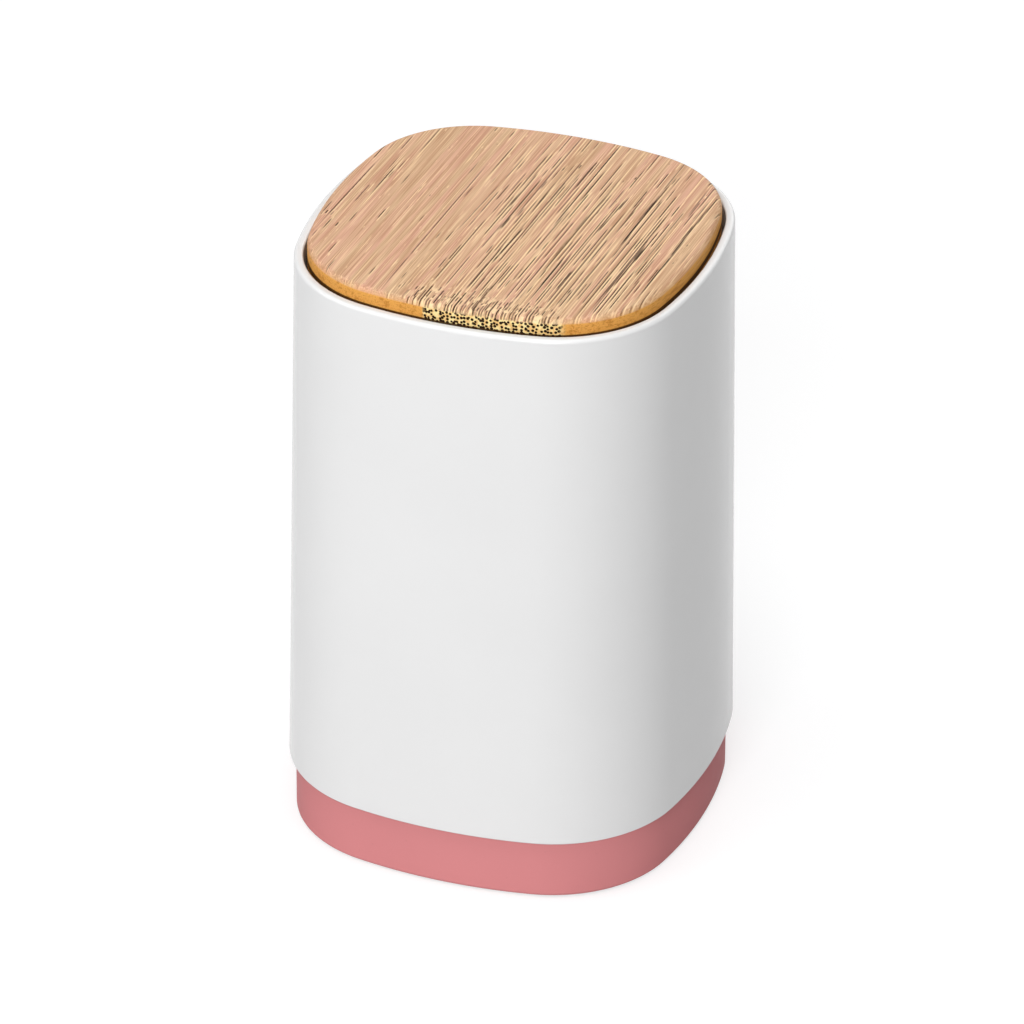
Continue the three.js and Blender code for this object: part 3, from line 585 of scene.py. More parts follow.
@dataclass(frozen=True)
class GrainLine:
    """One long open pore on the lid: its two ends and half its width, and how dark it is."""

    start: Pair
    end: Pair
    half_width: float = 0.12
    dark: float = 0.9
    fade: Pair = (1.0, 0.65)
    core: Pair = (1.1, 0.7)
    beside: Pair = (1.1, 0.5)

    def masks(self, graph: Graph, at: Socket) -> tuple[Socket, Socket]:
        """Draws the pore and the pale line on one side of it, which is partly pale fibre and partly painted
        highlight.

        Args:
            graph: The material's graph.
            at: The place on the lid.

        Returns:
            How much of the pore and of the pale line beside it, part fibre and part painted highlight, there
            is, from 0 to 1.
        """
        start, end = Vector(self.start), Vector(self.end)
        halfway, way = (start + end) / 2, (end - start).normalized()

        def away(direction: Vector, reach: float, shift: float = 0.0) -> Socket:
            """Gives how many reaches a place is from the pore's middle, along one direction."""
            dot = graph.vector("DOT_PRODUCT", at, (*(direction / (reach * MM)), 0.0))
            return graph.size_of(graph.minus(dot, halfway.dot(direction) / reach + shift))

        fade = graph.ramp(away(way, (end - start).length / 2), *self.fade)
        across = Vector((way.y, -way.x))
        core = graph.ramp(away(across, self.half_width), *self.core, 0.0, self.dark)
        # Painted highlight, partly pale fibre: the pale line two half widths to one side of the pore.
        pale = graph.ramp(away(across, self.half_width, 2.0), *self.beside, 0.0, self.dark)
        return graph.times(core, fade), graph.times(pale, fade)


@dataclass(frozen=True)
class PoreLayer:
    """One layer of fine pores.

    Its numbers say how wide its columns and its pores are, how often the pores break off, which share of the
    columns has one at least, and how much larger that share gets.
    """

    column: float
    half_width: float
    breaks_per_metre: float
    least: float
    more: float


@dataclass(frozen=True)
class Strip:
    """A strip with soft edges: from where to where it sets in and ends, in millimetres."""

    rise: Pair
    fall: Pair

    def mask(self, graph: Graph, value: Socket, beside: Pair = (0.0, 0.0)) -> Socket:
        """Marks the strip.

        Args:
            graph: The material's graph.
            value: Where across the strip.
            beside: What the mask is before and past the strip.

        Returns:
            1 in the strip, and the value beside it elsewhere.
        """
        up = graph.ramp(value, self.rise[0] * MM, self.rise[1] * MM, beside[0])
        return graph.times(up, graph.ramp(value, self.fall[1] * MM, self.fall[0] * MM, beside[1]))


@dataclass(frozen=True)
class Bamboo(Finish):
    """Laminated bamboo, sanded on top and oiled on its sides, with a dark line round its side like a glue
    seam, which is painted shade of the gap under the sleeve's rim.

    Places on it are in millimetres. A span says where a ramp starts and ends, and what it gives there.
    """

    lean: float = 1.6
    # Painted shade: the height of the dark line round the side that stands for the shadow in the gap under
    # the sleeve's rim.
    gap_shade_line: float = 92.75
    straw: Triple = (0.655, 0.42, 0.25)
    pale: Triple = (0.96, 0.7, 0.41)
    brown: Triple = (0.42, 0.187, 0.09)
    pore: Triple = (0.035, 0.014, 0.005)
    side: Triple = (0.76, 0.37, 0.085)
    side_dark: Triple = (0.5, 0.2, 0.035)
    end: Triple = (0.94, 0.76, 0.36)
    end_dot: Triple = (0.02, 0.008, 0.003)
    layers: tuple[PoreLayer, ...] = (
        PoreLayer(0.00052, 0.0001, 105.0, 0.19, 0.37),
        PoreLayer(0.00091, 0.00012, 40.0, 0.19, 0.37),
        PoreLayer(0.00047, 0.00013, 320.0, 0.0, 0.8),
    )
    lines: tuple[GrainLine, ...] = ()
    dense: Strip = Strip((-12.0, 3.0), (22.0, 27.0))
    dense_along: Strip = Strip((-24.5, -16.5), (6.0, 22.0))
    dense_ends: Pair = (0.3, 0.4)
    ragged: Strip = Strip((-7.0, -3.5), (15.0, 19.0))
    ragged_front: Pair = (-19.5, -26.0)
    breaks_per_metre: Triple = (700.0, 150.0, 1.0)
    breaks: Span = (0.36, 0.52, 0.25, 1.0)
    flecks_per_metre: Triple = (1700.0, 520.0, 1.0)
    flecks: Span = (0.55, 0.63)
    tints: Span = (0.38, 0.62)
    dark_streaks: Span = (0.5, 0.66, 0.0, 0.4)
    dark_fibres: Span = (0.49, 0.36, 0.0, 0.5)
    pale_fibres: Span = (0.54, 0.68, 0.0, 0.5)
    pale_share: float = 0.95
    side_streaks: Span = (0.5, 0.72, 0.0, 0.8)
    dotted: Strip = Strip((-3.2, -2.7), (16.6, 17.8))
    end_facing: Span = (0.2, 0.4)
    pith_per_metre: float = 1500.0
    pith: Span = (0.38, 0.62, 0.45, 1.0)
    # The reach and darkness of that painted gap shade line.
    gap_shade_edge: Pair = (0.5, 0.38)
    gap_shade_dark: float = 0.93
    top_facing: Span = (0.15, 0.4)
    # Partly painted shade: how far the rounded edge takes on the side's colour as it tilts away from the top.
    edge_shade_facing: Span = (0.3, 0.97, 0.7, 1.0)
    specular: float = 0.1
    roughness: Pair = (0.62, 0.5)
    relief: float = 0.00005
    relief_strength: float = 0.6
    pore_depth: float = 0.9
    fibre_height: float = 0.35

    def pore_regions(self, graph: Graph, grain: Socket) -> tuple[Socket, Socket]:
        """Marks where the top has more pores.

        Args:
            graph: The material's graph.
            grain: The place, turned so that the fibres run along Y.

        Returns:
            The masks of the dense middle and of the ragged front edge.
        """
        x, y, _ = graph.parts(grain)
        along = self.dense_along.mask(graph, y, self.dense_ends)
        front = graph.ramp(y, *(place * MM for place in self.ragged_front))
        dense = graph.times(self.dense.mask(graph, x), along)
        return dense, graph.times(self.ragged.mask(graph, x), front)

    def all_pores(self, graph: Graph, at: Socket, grain: Socket) -> tuple[Socket, Socket]:
        """Draws the pores of the top.

        There are the long ones, fine ones all over, and ragged ones at the front edge, which pale flecks
        break up.

        Args:
            graph: The material's graph.
            at: The place on the lid.
            grain: The same place, turned so that the fibres run along Y.

        Returns:
            How much of a pore and of a pale mark there is, from 0 to 1: pale flecks, and pale lines beside
            the pores that are partly fibre and partly painted highlight.
        """
        dense, ragged = self.pore_regions(graph, grain)
        broken = graph.ramp(graph.stretched(grain, self.breaks_per_metre, 2.0), *self.breaks)
        masks = []
        for line in self.lines:
            masks.append([graph.times(mask, broken) for mask in line.masks(graph, at)])
        for layer, region in zip(self.layers, (dense, dense, ragged), strict=True):
            values = {
                "Place": grain,
                "Column": layer.column,
                "Half Width": layer.half_width,
                "Breaks per Metre": layer.breaks_per_metre,
                "Share": graph.scaled(region, layer.more, layer.least),
            }
            masks.append(list(graph.group(pore_lines(), values).outputs))
        pore, pale = masks[0]
        for next_pore, next_pale in masks[1:]:
            pore = graph.most(pore, next_pore)
            pale = graph.most(pale, next_pale)
        fleck = graph.ramp(graph.stretched(grain, self.flecks_per_metre, 1.0), *self.flecks)
        fleck = graph.times(fleck, ragged)
        return graph.times(pore, graph.minus(1.0, fleck)), graph.most(pale, fleck)

    def top_colour(self, graph: Graph, fibres: Node, pore: Socket, pale: Socket) -> Socket:
        """Colours the sanded top.

        Args:
            graph: The material's graph.
            fibres: The node of the fibres.
            pore: How much of a pore there is.
            pale: How much of a pale mark there is: flecks, and the lines beside the pores, partly fibre and
                partly painted highlight.

        Returns:
            The colour.
        """
        tint, streak, fibre = fibres.outputs
        colour = graph.mix(graph.ramp(tint, *self.tints), self.shade(1.0), self.opaque(self.straw))
        dark = graph.most(graph.ramp(streak, *self.dark_streaks), graph.ramp(fibre, *self.dark_fibres))
        colour = graph.mix(dark, colour, self.opaque(self.brown))
        # Pale fibres, and the pale lines beside the pores, which are partly painted highlight.
        light = graph.most(graph.ramp(fibre, *self.pale_fibres), graph.times(pale, self.pale_share))
        colour = graph.mix(light, colour, self.opaque(self.pale))
        return graph.mix(pore, colour, self.opaque(self.pore))

    def side_colour(self, graph: Graph, at: Socket, grain: Socket, fibres: Node, facing: Socket) -> Socket:
        """Colours the oiled side, with the dots of cut fibre ends and a dark line of painted gap shade at the
        sleeve rim's height.

        Args:
            graph: The material's graph.
            at: The place on the lid.
            grain: The same place, turned so that the fibres run along Y.
            fibres: The node of the fibres.
            facing: How far the side faces along Y.

        Returns:
            The colour.
        """
        streak = graph.most(fibres.outputs["Streak"], fibres.outputs["Fibre"])
        streak = graph.ramp(streak, *self.side_streaks)
        side = graph.mix(streak, self.opaque(self.side), self.opaque(self.side_dark))
        on_end = graph.ramp(graph.size_of(facing), *self.end_facing)
        dotted = graph.times(on_end, self.dotted.mask(graph, graph.parts(grain)[0]))
        pith = graph.ramp(graph.noise(at, self.pith_per_metre, 1.0), *self.pith)
        side = graph.mix(graph.times(dotted, pith), side, self.opaque(self.end))
        ends = graph.group(cut_ends(), {"Place": grain})
        side = graph.mix(graph.times(dotted, ends.outputs["Dot"]), side, self.opaque(self.end_dot))
        # Painted shade: a dark line round the side at the sleeve rim's height, for the shadow in the gap
        # between lid and sleeve.
        from_gap_shade_line = graph.size_of(graph.minus(graph.parts(at)[2], self.gap_shade_line * MM))
        edge = (reach * MM for reach in self.gap_shade_edge)
        gap_shade_line = graph.ramp(from_gap_shade_line, *edge, 0.0, self.gap_shade_dark)
        return graph.mix(gap_shade_line, side, self.opaque(self.pore))

    def paint(self, graph: Graph, shader: Node, place: Node) -> None:
        """Sets up the shader.

        Args:
            graph: The material's graph.
            shader: Its Principled shader.
            place: Its Texture Coordinate node.
        """
        at = place.outputs["Object"]
        turn = math.radians(self.lean)
        x = graph.vector("DOT_PRODUCT", at, (math.cos(turn), -math.sin(turn), 0.0))
        y = graph.vector("DOT_PRODUCT", at, (math.sin(turn), math.cos(turn), 0.0))
        grain = graph.xyz(x, y, graph.parts(at)[2])
        _, normal_y, normal_z = graph.parts(place.outputs["Normal"])
        # Partly the side's colour reaching over the round and partly painted shade: up to 30% of the side's
        # colour on the rounded edge, more as it tilts from the top.
        edge = graph.ramp(normal_z, *self.edge_shade_facing)
        top = graph.times(graph.ramp(normal_z, *self.top_facing), edge)
        fibres = graph.group(bamboo_fibres(), {"Place": grain})
        fibre = fibres.outputs["Fibre"]
        pore, pale = self.all_pores(graph, at, grain)
        side = self.side_colour(graph, at, grain, fibres, normal_y)
        height = graph.scaled(pore, -self.pore_depth, graph.times(fibre, self.fibre_height))
        values = {
            "Base Color": graph.mix(top, side, self.top_colour(graph, fibres, pore, pale)),
            "Roughness": graph.spread(fibre, *self.roughness),
            "Normal": graph.bump(height, self.relief, self.relief_strength),
            "Specular IOR Level": self.specular,
        }
        graph.fill(shader, values)

    @staticmethod
    def opaque(colour: Triple) -> Colour:
        """Gives the colour, opaque."""
        return (*colour, 1.0)


WHITE = MouldedPlastic(
    "white_satin_plastic",
    "white_plastic",
    (0.80, 0.80, 0.80),
    roughness=0.17,
    roughness_swing=0.05,
    tone_swing=0.015,
    specular=0.35,
    speck_share=0.0,
)
PINK = MouldedPlastic(
    "dusty_pink_plastic", "pink_plastic", (0.705, 0.262, 0.27), roughness=0.5, tone_swing=0.03, specular=0.02
)
INNER = MouldedPlastic("inner_satin_plastic", "inner_plastic", (0.79, 0.78, 0.75), roughness=0.5)
CUP = MouldedPlastic("milky_cup_plastic", "cup_plastic", (0.80, 0.82, 0.82), roughness=0.34, milky=0.25)
ACETAL = MouldedPlastic("natural_acetal", "acetal", (0.70, 0.68, 0.61), roughness=0.46, tone_swing=0.08)
DARK = MouldedPlastic("dark_glass_filled_plastic", "dark_plastic", (0.042, 0.043, 0.046), roughness=0.52)
RUBBER = Rubber("grey_rubber", "rubber", (0.10, 0.10, 0.105))
POLISHED = Metal("polished_rod_steel", "polished_steel", (0.66, 0.67, 0.69), roughness=0.14)
STEEL = Metal("zinc_plated_steel", "steel", (0.56, 0.57, 0.58), roughness=0.28, lines=(3000.0,) * 3)
SPRING_STEEL = Metal("drawn_spring_steel", "spring_steel", (0.42, 0.43, 0.45), lines=(4000.0, 4000.0, 9000.0))
BAMBOO = Bamboo(
    "sanded_bamboo",
    "bamboo",
    (0.7, 0.392, 0.268),
    lines=(
        GrainLine((16.7, -3.9), (17.2, 21.2), 0.15, 1.0),
        GrainLine((17.6, 10.3), (18.0, 21.5), 0.09, 0.7),
        GrainLine((12.3, 0.0), (12.9, 11.7), 0.12, 0.85),
        GrainLine((14.8, -0.7), (15.2, 9.3), 0.11, 0.85),
        GrainLine((24.2, -17.9), (24.9, 15.5), 0.12, 0.9),
        GrainLine((19.4, -24.1), (20.1, 11.6), 0.13, 0.85),
        GrainLine((22.0, -14.1), (22.5, -0.4), 0.1, 0.65),
        GrainLine((1.3, -14.0), (1.9, -1.3), 0.15, 0.95),
        GrainLine((2.1, -14.0), (2.4, -3.2), 0.1, 0.8),
        GrainLine((-26.1, -14.0), (-25.0, 12.7), 0.12, 0.8),
        GrainLine((-10.7, -27.2), (-9.7, 16.2), 0.11, 0.7),
        GrainLine((-6.8, -7.6), (-5.3, 19.6), 0.1, 0.55),
        GrainLine((12.6, -17.8), (12.8, -11.5), 0.12, 0.9),
        GrainLine((14.4, -22.2), (14.6, -16.6), 0.13, 0.95),
        GrainLine((-7.1, -27.6), (-6.9, -24.8), 0.14, 1.0),
    ),
)


# Meshes


def mesh_piece(
    name: str,
    points: Sequence[Triple],
    edges: Sequence[tuple[int, int]] = (),
    faces: Sequence[Sequence[int]] = (),
) -> Piece:
    """Makes an object from points in millimetres.

    Args:
        name: The object's name.
        points: Its points.
        edges: Its loose edges.
        faces: Its faces.

    Returns:
        The object, in the scene.
    """
    mesh = bpy.data.meshes.new(name)
    mesh.from_pydata([Vector(p) * MM for p in points], edges, faces)
    piece = bpy.data.objects.new(name, mesh)
    bpy.context.scene.collection.objects.link(piece)
    return piece


def settle(piece: Piece) -> Piece:
    """Turns what an object's modifiers make of it into its plain mesh.

    Args:
        piece: The object.

    Returns:
        The same object, with no modifier left.
    """
    view = bpy.context.evaluated_depsgraph_get()
    mesh = bpy.data.meshes.new_from_object(piece.evaluated_get(view))
    old = piece.data
    piece.modifiers.clear()
    piece.data = mesh
    bpy.data.meshes.remove(old)
    mesh.name = piece.name
    return piece


def close_up(piece: Piece, merge: float = 0.0005) -> Piece:
    """Merges doubles, closes open ends with flat faces and points all faces outwards.

    Args:
        piece: The object.
        merge: The distance under which points are one, in millimetres.

    Returns:
        The same object.
    """
    shape = bmesh.new()
    shape.from_mesh(piece.data)
    bmesh.ops.remove_doubles(shape, verts=shape.verts, dist=merge * MM)
    bmesh.ops.holes_fill(shape, edges=[e for e in shape.edges if e.is_boundary], sides=0)
    bmesh.ops.recalc_face_normals(shape, faces=shape.faces)
    if shape.calc_volume(signed=True) < 0:
        bmesh.ops.reverse_faces(shape, faces=shape.faces)
    shape.to_mesh(piece.data)
    shape.free()
    return piece


def combine(operation: Operation, piece: Piece, tools: Iterable[Piece]) -> Piece:
    """Joins tools to a piece, or cuts them out of it.

    Args:
        operation: What is done.
        piece: The piece that changes.
        tools: The shapes that it is changed with, which are used up.

    Returns:
        The piece.
    """
    tools = list(tools)
    for tool in tools:
        modifier = piece.modifiers.new("combine", "BOOLEAN")
        modifier.solver = "MANIFOLD"
        modifier.operation = operation.value
        modifier.object = tool
    settle(piece)
    for tool in tools:
        bpy.data.objects.remove(tool)
    return piece


def join(piece: Piece, *tools: Piece) -> Piece:
    """Joins tools to a piece."""
    return combine(Operation.JOIN, piece, tools)


def cut(piece: Piece, *tools: Piece) -> Piece:
    """Cuts tools out of a piece."""
    return combine(Operation.CUT, piece, tools)


def arc(x: float, y: float, radius: float, start: float, end: float, steps: int = 8) -> list[Pair]:
    """Gives points round a middle, from one angle to another in degrees, in equal steps."""
    angles = [math.radians(start + (end - start) * i / steps) for i in range(steps + 1)]
    return [(x + radius * math.cos(a), y + radius * math.sin(a)) for a in angles]


def held(profile: Sequence[Pair], closed: bool, hold: float = 0.12) -> list[Pair]:
    """Adds points near the ends of a profile's long stretches, so that these shade flat.

    Args:
        profile: The profile's points.
        closed: Whether its last point joins its first.
        hold: How far from an end the added points are.

    Returns:
        The profile with the added points.
    """
    points: list[Pair] = []
    pairs = list(zip(profile, [*profile[1:], profile[0]], strict=True))
    for first, second in pairs if closed else pairs[:-1]:
        points.append(first)
        length = math.dist(first, second)
        if length > 4 * hold:
            for share in (hold / length, 1 - hold / length):
                points.append(tuple(a + (b - a) * share for a, b in zip(first, second, strict=True)))
    return points if closed else [*points, profile[-1]]


def turned(name: str, profile: Sequence[Pair], steps: int = 64, x: float = 0.0, y: float = 0.0) -> Piece:
    """Turns a profile about the vertical line through a place.

    Args:
        name: The object's name.
        profile: Points of radius and height; a ring's profile goes all the way round.
        steps: How many steps it takes round the line.
        x: Where the line is along X.
        y: Where the line is along Y.

    Returns:
        The closed piece.
    """
    ring = min(r for r, _ in profile) > 0
    points: list[Triple] = []
    for i in range(steps):
        a = math.tau * i / steps
        points += [(x + r * math.cos(a), y + r * math.sin(a), z) for r, z in profile]
    count = len(profile)
    faces = []
    for i in range(steps):
        low = i * count
        high = (i + 1) % steps * count
        for k in range(count if ring else count - 1):
            following = (k + 1) % count
            faces.append((low + k, high + k, high + following, low + following))
    return close_up(mesh_piece(name, points, faces=faces))


def rod(radius: float, low: float, high: float, x: float = 0.0, y: float = 0.0, steps: int = 48) -> Piece:
    """Makes an upright cylinder between two heights."""
    return turned("rod", [(0, low), (radius, low), (radius, high), (0, high)], steps, x, y)


def cross_rod(radius: float, x0: float, x1: float, y: float, z: float, steps: int = 32) -> Piece:
    """Makes a cylinder along X.

    Args:
        radius: Its radius.
        x0: One end.
        x1: The other end.
        y: Where it is along Y.
        z: Its height.
        steps: How many steps it takes round.

    Returns:
        The piece.
    """
    piece = rod(radius, min(x0, x1), max(x0, x1), steps=steps)
    piece.data.transform(Matrix.Translation(Vector((0, y, z)) * MM) @ Matrix.Rotation(math.pi / 2, 4, "Y"))
    return piece


def block(xs: Pair, ys: Pair, zs: Pair) -> Piece:
    """Makes a block.

    Args:
        xs: Its two ends along X.
        ys: Its two ends along Y.
        zs: Its two ends along Z.

    Returns:
        The piece.
    """
    points = [(x, y, z) for x in sorted(xs) for y in sorted(ys) for z in sorted(zs)]
    faces = [(0, 1, 3, 2), (4, 6, 7, 5), (0, 4, 5, 1), (2, 3, 7, 6), (0, 2, 6, 4), (1, 5, 7, 3)]
    return mesh_piece("block", points, faces=faces)


def merged(name: str, pieces: Sequence[Piece]) -> Piece:
    """Puts several pieces into one object.

    Args:
        name: The object's name.
        pieces: The pieces, which are used up.

    Returns:
        The object.
    """
    shape = bmesh.new()
    for piece in pieces:
        shape.from_mesh(piece.data)
        bpy.data.objects.remove(piece)
    whole = mesh_piece(name, [])
    shape.to_mesh(whole.data)
    shape.free()
    return whole


def set_inputs(piece: Piece, tree: Tree, values: dict[str, object]) -> Piece:
    """Runs a geometry tree on a piece and keeps the result as its mesh.

    Args:
        piece: The piece that the tree starts from.
        tree: The tree.
        values: The tree's inputs by name.

    Returns:
        The same piece.
    """
    modifier = piece.modifiers.new(tree.name, "NODES")
    modifier.node_group = tree
    for item in tree.interface.items_tree:
        if item.in_out == "INPUT" and item.name in values:
            modifier[item.identifier] = values[item.name]
    return settle(piece)


def finish_tree(graph: Graph, shape: Socket, given: dict[str, Socket], result: Node) -> None:
    """Ends a geometry tree in Realize Instances and Set Material.

    Args:
        graph: The tree's graph.
        shape: The geometry so far.
        given: The tree's inputs by name.
        result: The node that takes the output.
    """
    real = graph.node("GeometryNodeRealizeInstances", shape).outputs[0]
    painted = graph.node("GeometryNodeSetMaterial", real, None, given["Material"]).outputs[0]
    graph.feed(result.inputs[0], painted)


def finish_wire(graph: Graph, path: Socket, given: dict[str, Socket], result: Node) -> None:
    """Ends a geometry tree in a round wire along a path.

    Args:
        graph: The tree's graph.
        path: The curve.
        given: The tree's inputs by name.
        result: The node that takes the output.
    """
    section = graph.node("GeometryNodeCurvePrimitiveCircle", given["Wire Sides"])
    graph.fill(section, {"Radius": given["Wire Radius"]})
    wire = graph.node("GeometryNodeCurveToMesh", path)
    graph.fill(wire, {"Profile Curve": section.outputs[0], "Fill Caps": True})
    finish_tree(graph, wire.outputs[0], given, result)


@cache
def soft_square_tree() -> Tree:
    """Makes the tree that sweeps a profile round the soft square.

    Four bowed sides are joined by four rounder corners that touch them. The profile lies in X, outwards from
    the outline, and in Y, downwards.

    Returns:
        The tree.
    """
    graph, given, result = group_graph(
        "soft_square_skin",
        "GeometryNodeTree",
        [
            *outputs("Skin", kind="Geometry"),
            *inputs("Profile", kind="Geometry"),
            *inputs("Half Width", "Corner Radius", "Side Radius"),
            *inputs("Side Steps", "Corner Steps", kind="Int"),
            MATERIAL,
        ],
    )
    side, corner = given["Side Radius"], given["Corner Radius"]
    side_steps, corner_steps = given["Side Steps"], given["Corner Steps"]
    back = graph.minus(side, given["Half Width"])
    reach = graph.minus(side, corner)
    square = graph.times(graph.times(reach, reach), 2.0)
    root = graph.math("SQRT", graph.minus(square, graph.times(back, back)))
    aside = graph.divided(graph.minus(root, back), 2.0)
    turn = graph.math("ARCTAN2", aside, graph.plus(aside, back))

    per_quarter = graph.plus(side_steps, corner_steps)
    index = graph.node("GeometryNodeInputIndex").outputs[0]
    quarter = graph.math("FLOOR", graph.divided(graph.plus(index, 0.5), per_quarter))
    step = graph.minus(index, graph.times(quarter, per_quarter))
    past = graph.minus(step, side_steps)
    on_corner = graph.math("GREATER_THAN", past, -0.5)
    side_share = graph.divided(step, side_steps)
    side_angle = graph.times(turn, graph.scaled(side_share, 2.0, -1.0))
    corner_share = graph.divided(past, corner_steps)
    corner_span = graph.scaled(turn, -2.0, math.pi / 2)
    corner_angle = graph.scaled(corner_span, corner_share, turn)

    def either(on_side: object, at_corner: object) -> Socket:
        """Picks the second value on a corner and the first one elsewhere."""
        change = graph.minus(at_corner, on_side)
        return graph.scaled(change, on_corner, on_side)

    angle = either(side_angle, corner_angle)
    radius = either(side, corner)
    x = either(graph.times(back, -1.0), aside)
    y = graph.times(aside, on_corner)
    x = graph.scaled(radius, graph.math("COSINE", angle), x)
    y = graph.scaled(radius, graph.math("SINE", angle), y)
    spot = graph.node("ShaderNodeVectorRotate", graph.xyz(x, y), rotation_type="Z_AXIS")
    graph.feed(spot.inputs["Angle"], graph.times(quarter, math.pi / 2))

    count = graph.times(per_quarter, 4.0)
    circle = graph.node("GeometryNodeCurvePrimitiveCircle", count).outputs[0]
    outline = graph.node("GeometryNodeSetPosition", circle, None, spot.outputs[0]).outputs[0]
    outline = graph.node("GeometryNodeSetCurveNormal", outline, mode="Z_UP").outputs[0]
    profile = graph.node("GeometryNodeMeshToCurve", given["Profile"]).outputs[0]
    swept = graph.node("GeometryNodeCurveToMesh", outline)
    graph.feed(swept.inputs["Profile Curve"], profile)
    finish_tree(graph, swept.outputs[0], given, result)
    return graph.tree


@dataclass(frozen=True)
class SoftSquare:
    """The outline of the sleeve at its rim, and shapes that follow it at an offset."""

    half_width: float = 30.0
    corner_radius: float = 19.2
    side_radius: float = 71.4
    side_steps: int = 32
    corner_steps: int = 32

    def skin(self, name: str, profile: Sequence[Pair], closed: bool = False) -> Piece:
        """Sweeps a profile of offsets and heights round the outline.

        Args:
            name: The piece's name.
            profile: Points of offset and height. An open one goes up and gets flat ends.
            closed: Whether the profile's last point joins its first, which makes a shell.

        Returns:
            The closed piece.
        """
        points = held(profile, closed)
        edges = [(i, i + 1) for i in range(len(points) - 1)]
        if closed:
            edges.append((len(points) - 1, 0))
        piece = mesh_piece(name, [(x, -z, 0.0) for x, z in points], edges)
        values = {
            "Half Width": self.half_width * MM,
            "Corner Radius": self.corner_radius * MM,
            "Side Radius": self.side_radius * MM,
            "Side Steps": self.side_steps,
            "Corner Steps": self.corner_steps,
        }
        return close_up(set_inputs(piece, soft_square_tree(), values))

    def prism(self, offset: float, low: float, high: float) -> Piece:
        """Makes an upright prism of the outline at an offset, between two heights."""
        return self.skin("prism", [(offset, low), (offset, high)])


@cache
def placed_set_tree() -> Tree:
    """Makes the tree that puts copies of an item on points, each turned by the point's attribute "turn".

    Returns:
        The tree.
    """
    graph, given, result = group_graph(
        "placed_set",
        "GeometryNodeTree",
        [
            *outputs("Set", kind="Geometry"),
            *inputs("Places", kind="Geometry"),
            *inputs("Item", kind="Object"),
            MATERIAL,
        ],
    )
    item = graph.node("GeometryNodeObjectInfo", given["Item"]).outputs["Geometry"]
    turn = graph.node("GeometryNodeInputNamedAttribute", "turn", data_type="FLOAT_VECTOR").outputs[0]
    rotation = graph.node("FunctionNodeEulerToRotation", turn).outputs[0]
    copies = graph.node("GeometryNodeInstanceOnPoints", given["Places"])
    graph.fill(copies, {"Instance": item, "Rotation": rotation})
    finish_tree(graph, copies.outputs[0], given, result)
    return graph.tree


def placed_set(
    name: str, item: Piece, places: Sequence[Triple], turns: Sequence[Triple], finish: Finish
) -> Piece:
    """Puts copies of an item at places.

    Args:
        name: The name of the set.
        item: The item, which is used up.
        places: Where the copies go.
        turns: How each is turned about X, Y and Z.
        finish: The finish of the set.

    Returns:
        The set, as one object.
    """
    piece = mesh_piece(name, places)
    turn = piece.data.attributes.new("turn", "FLOAT_VECTOR", "POINT")
    for row, value in zip(turn.data, turns, strict=True):
        row.vector = value
    set_inputs(piece, placed_set_tree(), {"Item": item, "Material": finish.material()})
    bpy.data.objects.remove(item)
    return piece


def upright_set(name: str, item: Piece, nodes: Sequence[str], finish: Finish) -> Piece:
    """Puts an upright copy of an item, which is used up, on the axis of each frame node."""
    places = [(*middle(node), 0.0) for node in nodes]
    return placed_set(name, item, places, [Facing.UP.value] * len(nodes), finish)


@cache
def threaded_screw_tree() -> Tree:
    """Makes the tree that cuts a thread into a plain screw's shaft and a cross into its head.

    Returns:
        The tree.
    """
    graph, given, result = group_graph(
        "threaded_screw",
        "GeometryNodeTree",
        [
            *outputs("Threaded", kind="Geometry"),
            *inputs("Screw", kind="Geometry"),
            *inputs("Thread Start", "Pitch", "Thread Depth"),
            *inputs("Head Face", "Cross Reach", "Cross Width", "Cross Depth"),
            MATERIAL,
        ],
    )
    place = graph.node("GeometryNodeInputPosition").outputs[0]
    x, y, z = graph.parts(place)
    radius = graph.vector("LENGTH", graph.xyz(x, y))
    angle = graph.divided(graph.math("ARCTAN2", y, x), math.tau)
    phase = graph.math("FRACT", graph.minus(graph.divided(z, given["Pitch"]), angle))
    wave = graph.size_of(graph.scaled(phase, 2.0, -1.0))
    past = graph.divided(graph.minus(z, given["Thread Start"]), given["Pitch"])
    fade = graph.math("MINIMUM", graph.most(past, 0.0), 1.0)
    depth = graph.times(graph.times(wave, fade), given["Thread Depth"])
    least_radius = 1e-5
    share = graph.minus(1.0, graph.divided(depth, graph.most(radius, least_radius)))
    share = graph.most(share, 0.0)
    spot = graph.vector("MULTIPLY", place, graph.xyz(share, share, 1.0))
    threaded = graph.node("GeometryNodeSetPosition", given["Screw"], None, spot).outputs[0]

    depth = graph.times(given["Cross Depth"], 2.0)
    face = graph.xyz(0.0, 0.0, given["Head Face"])
    reach, width = given["Cross Reach"], given["Cross Width"]
    opening = graph.node("GeometryNodeMeshBoolean", threaded, operation="DIFFERENCE", solver="MANIFOLD")
    for size in (graph.xyz(reach, width, depth), graph.xyz(width, reach, depth)):
        slot = graph.node("GeometryNodeMeshCube", size).outputs[0]
        moved = graph.node("GeometryNodeSetPosition", slot, None, None, face).outputs[0]
        graph.feed(opening.inputs["Mesh 2"], moved)
    finish_tree(graph, opening.outputs[0], given, result)
    return graph.tree


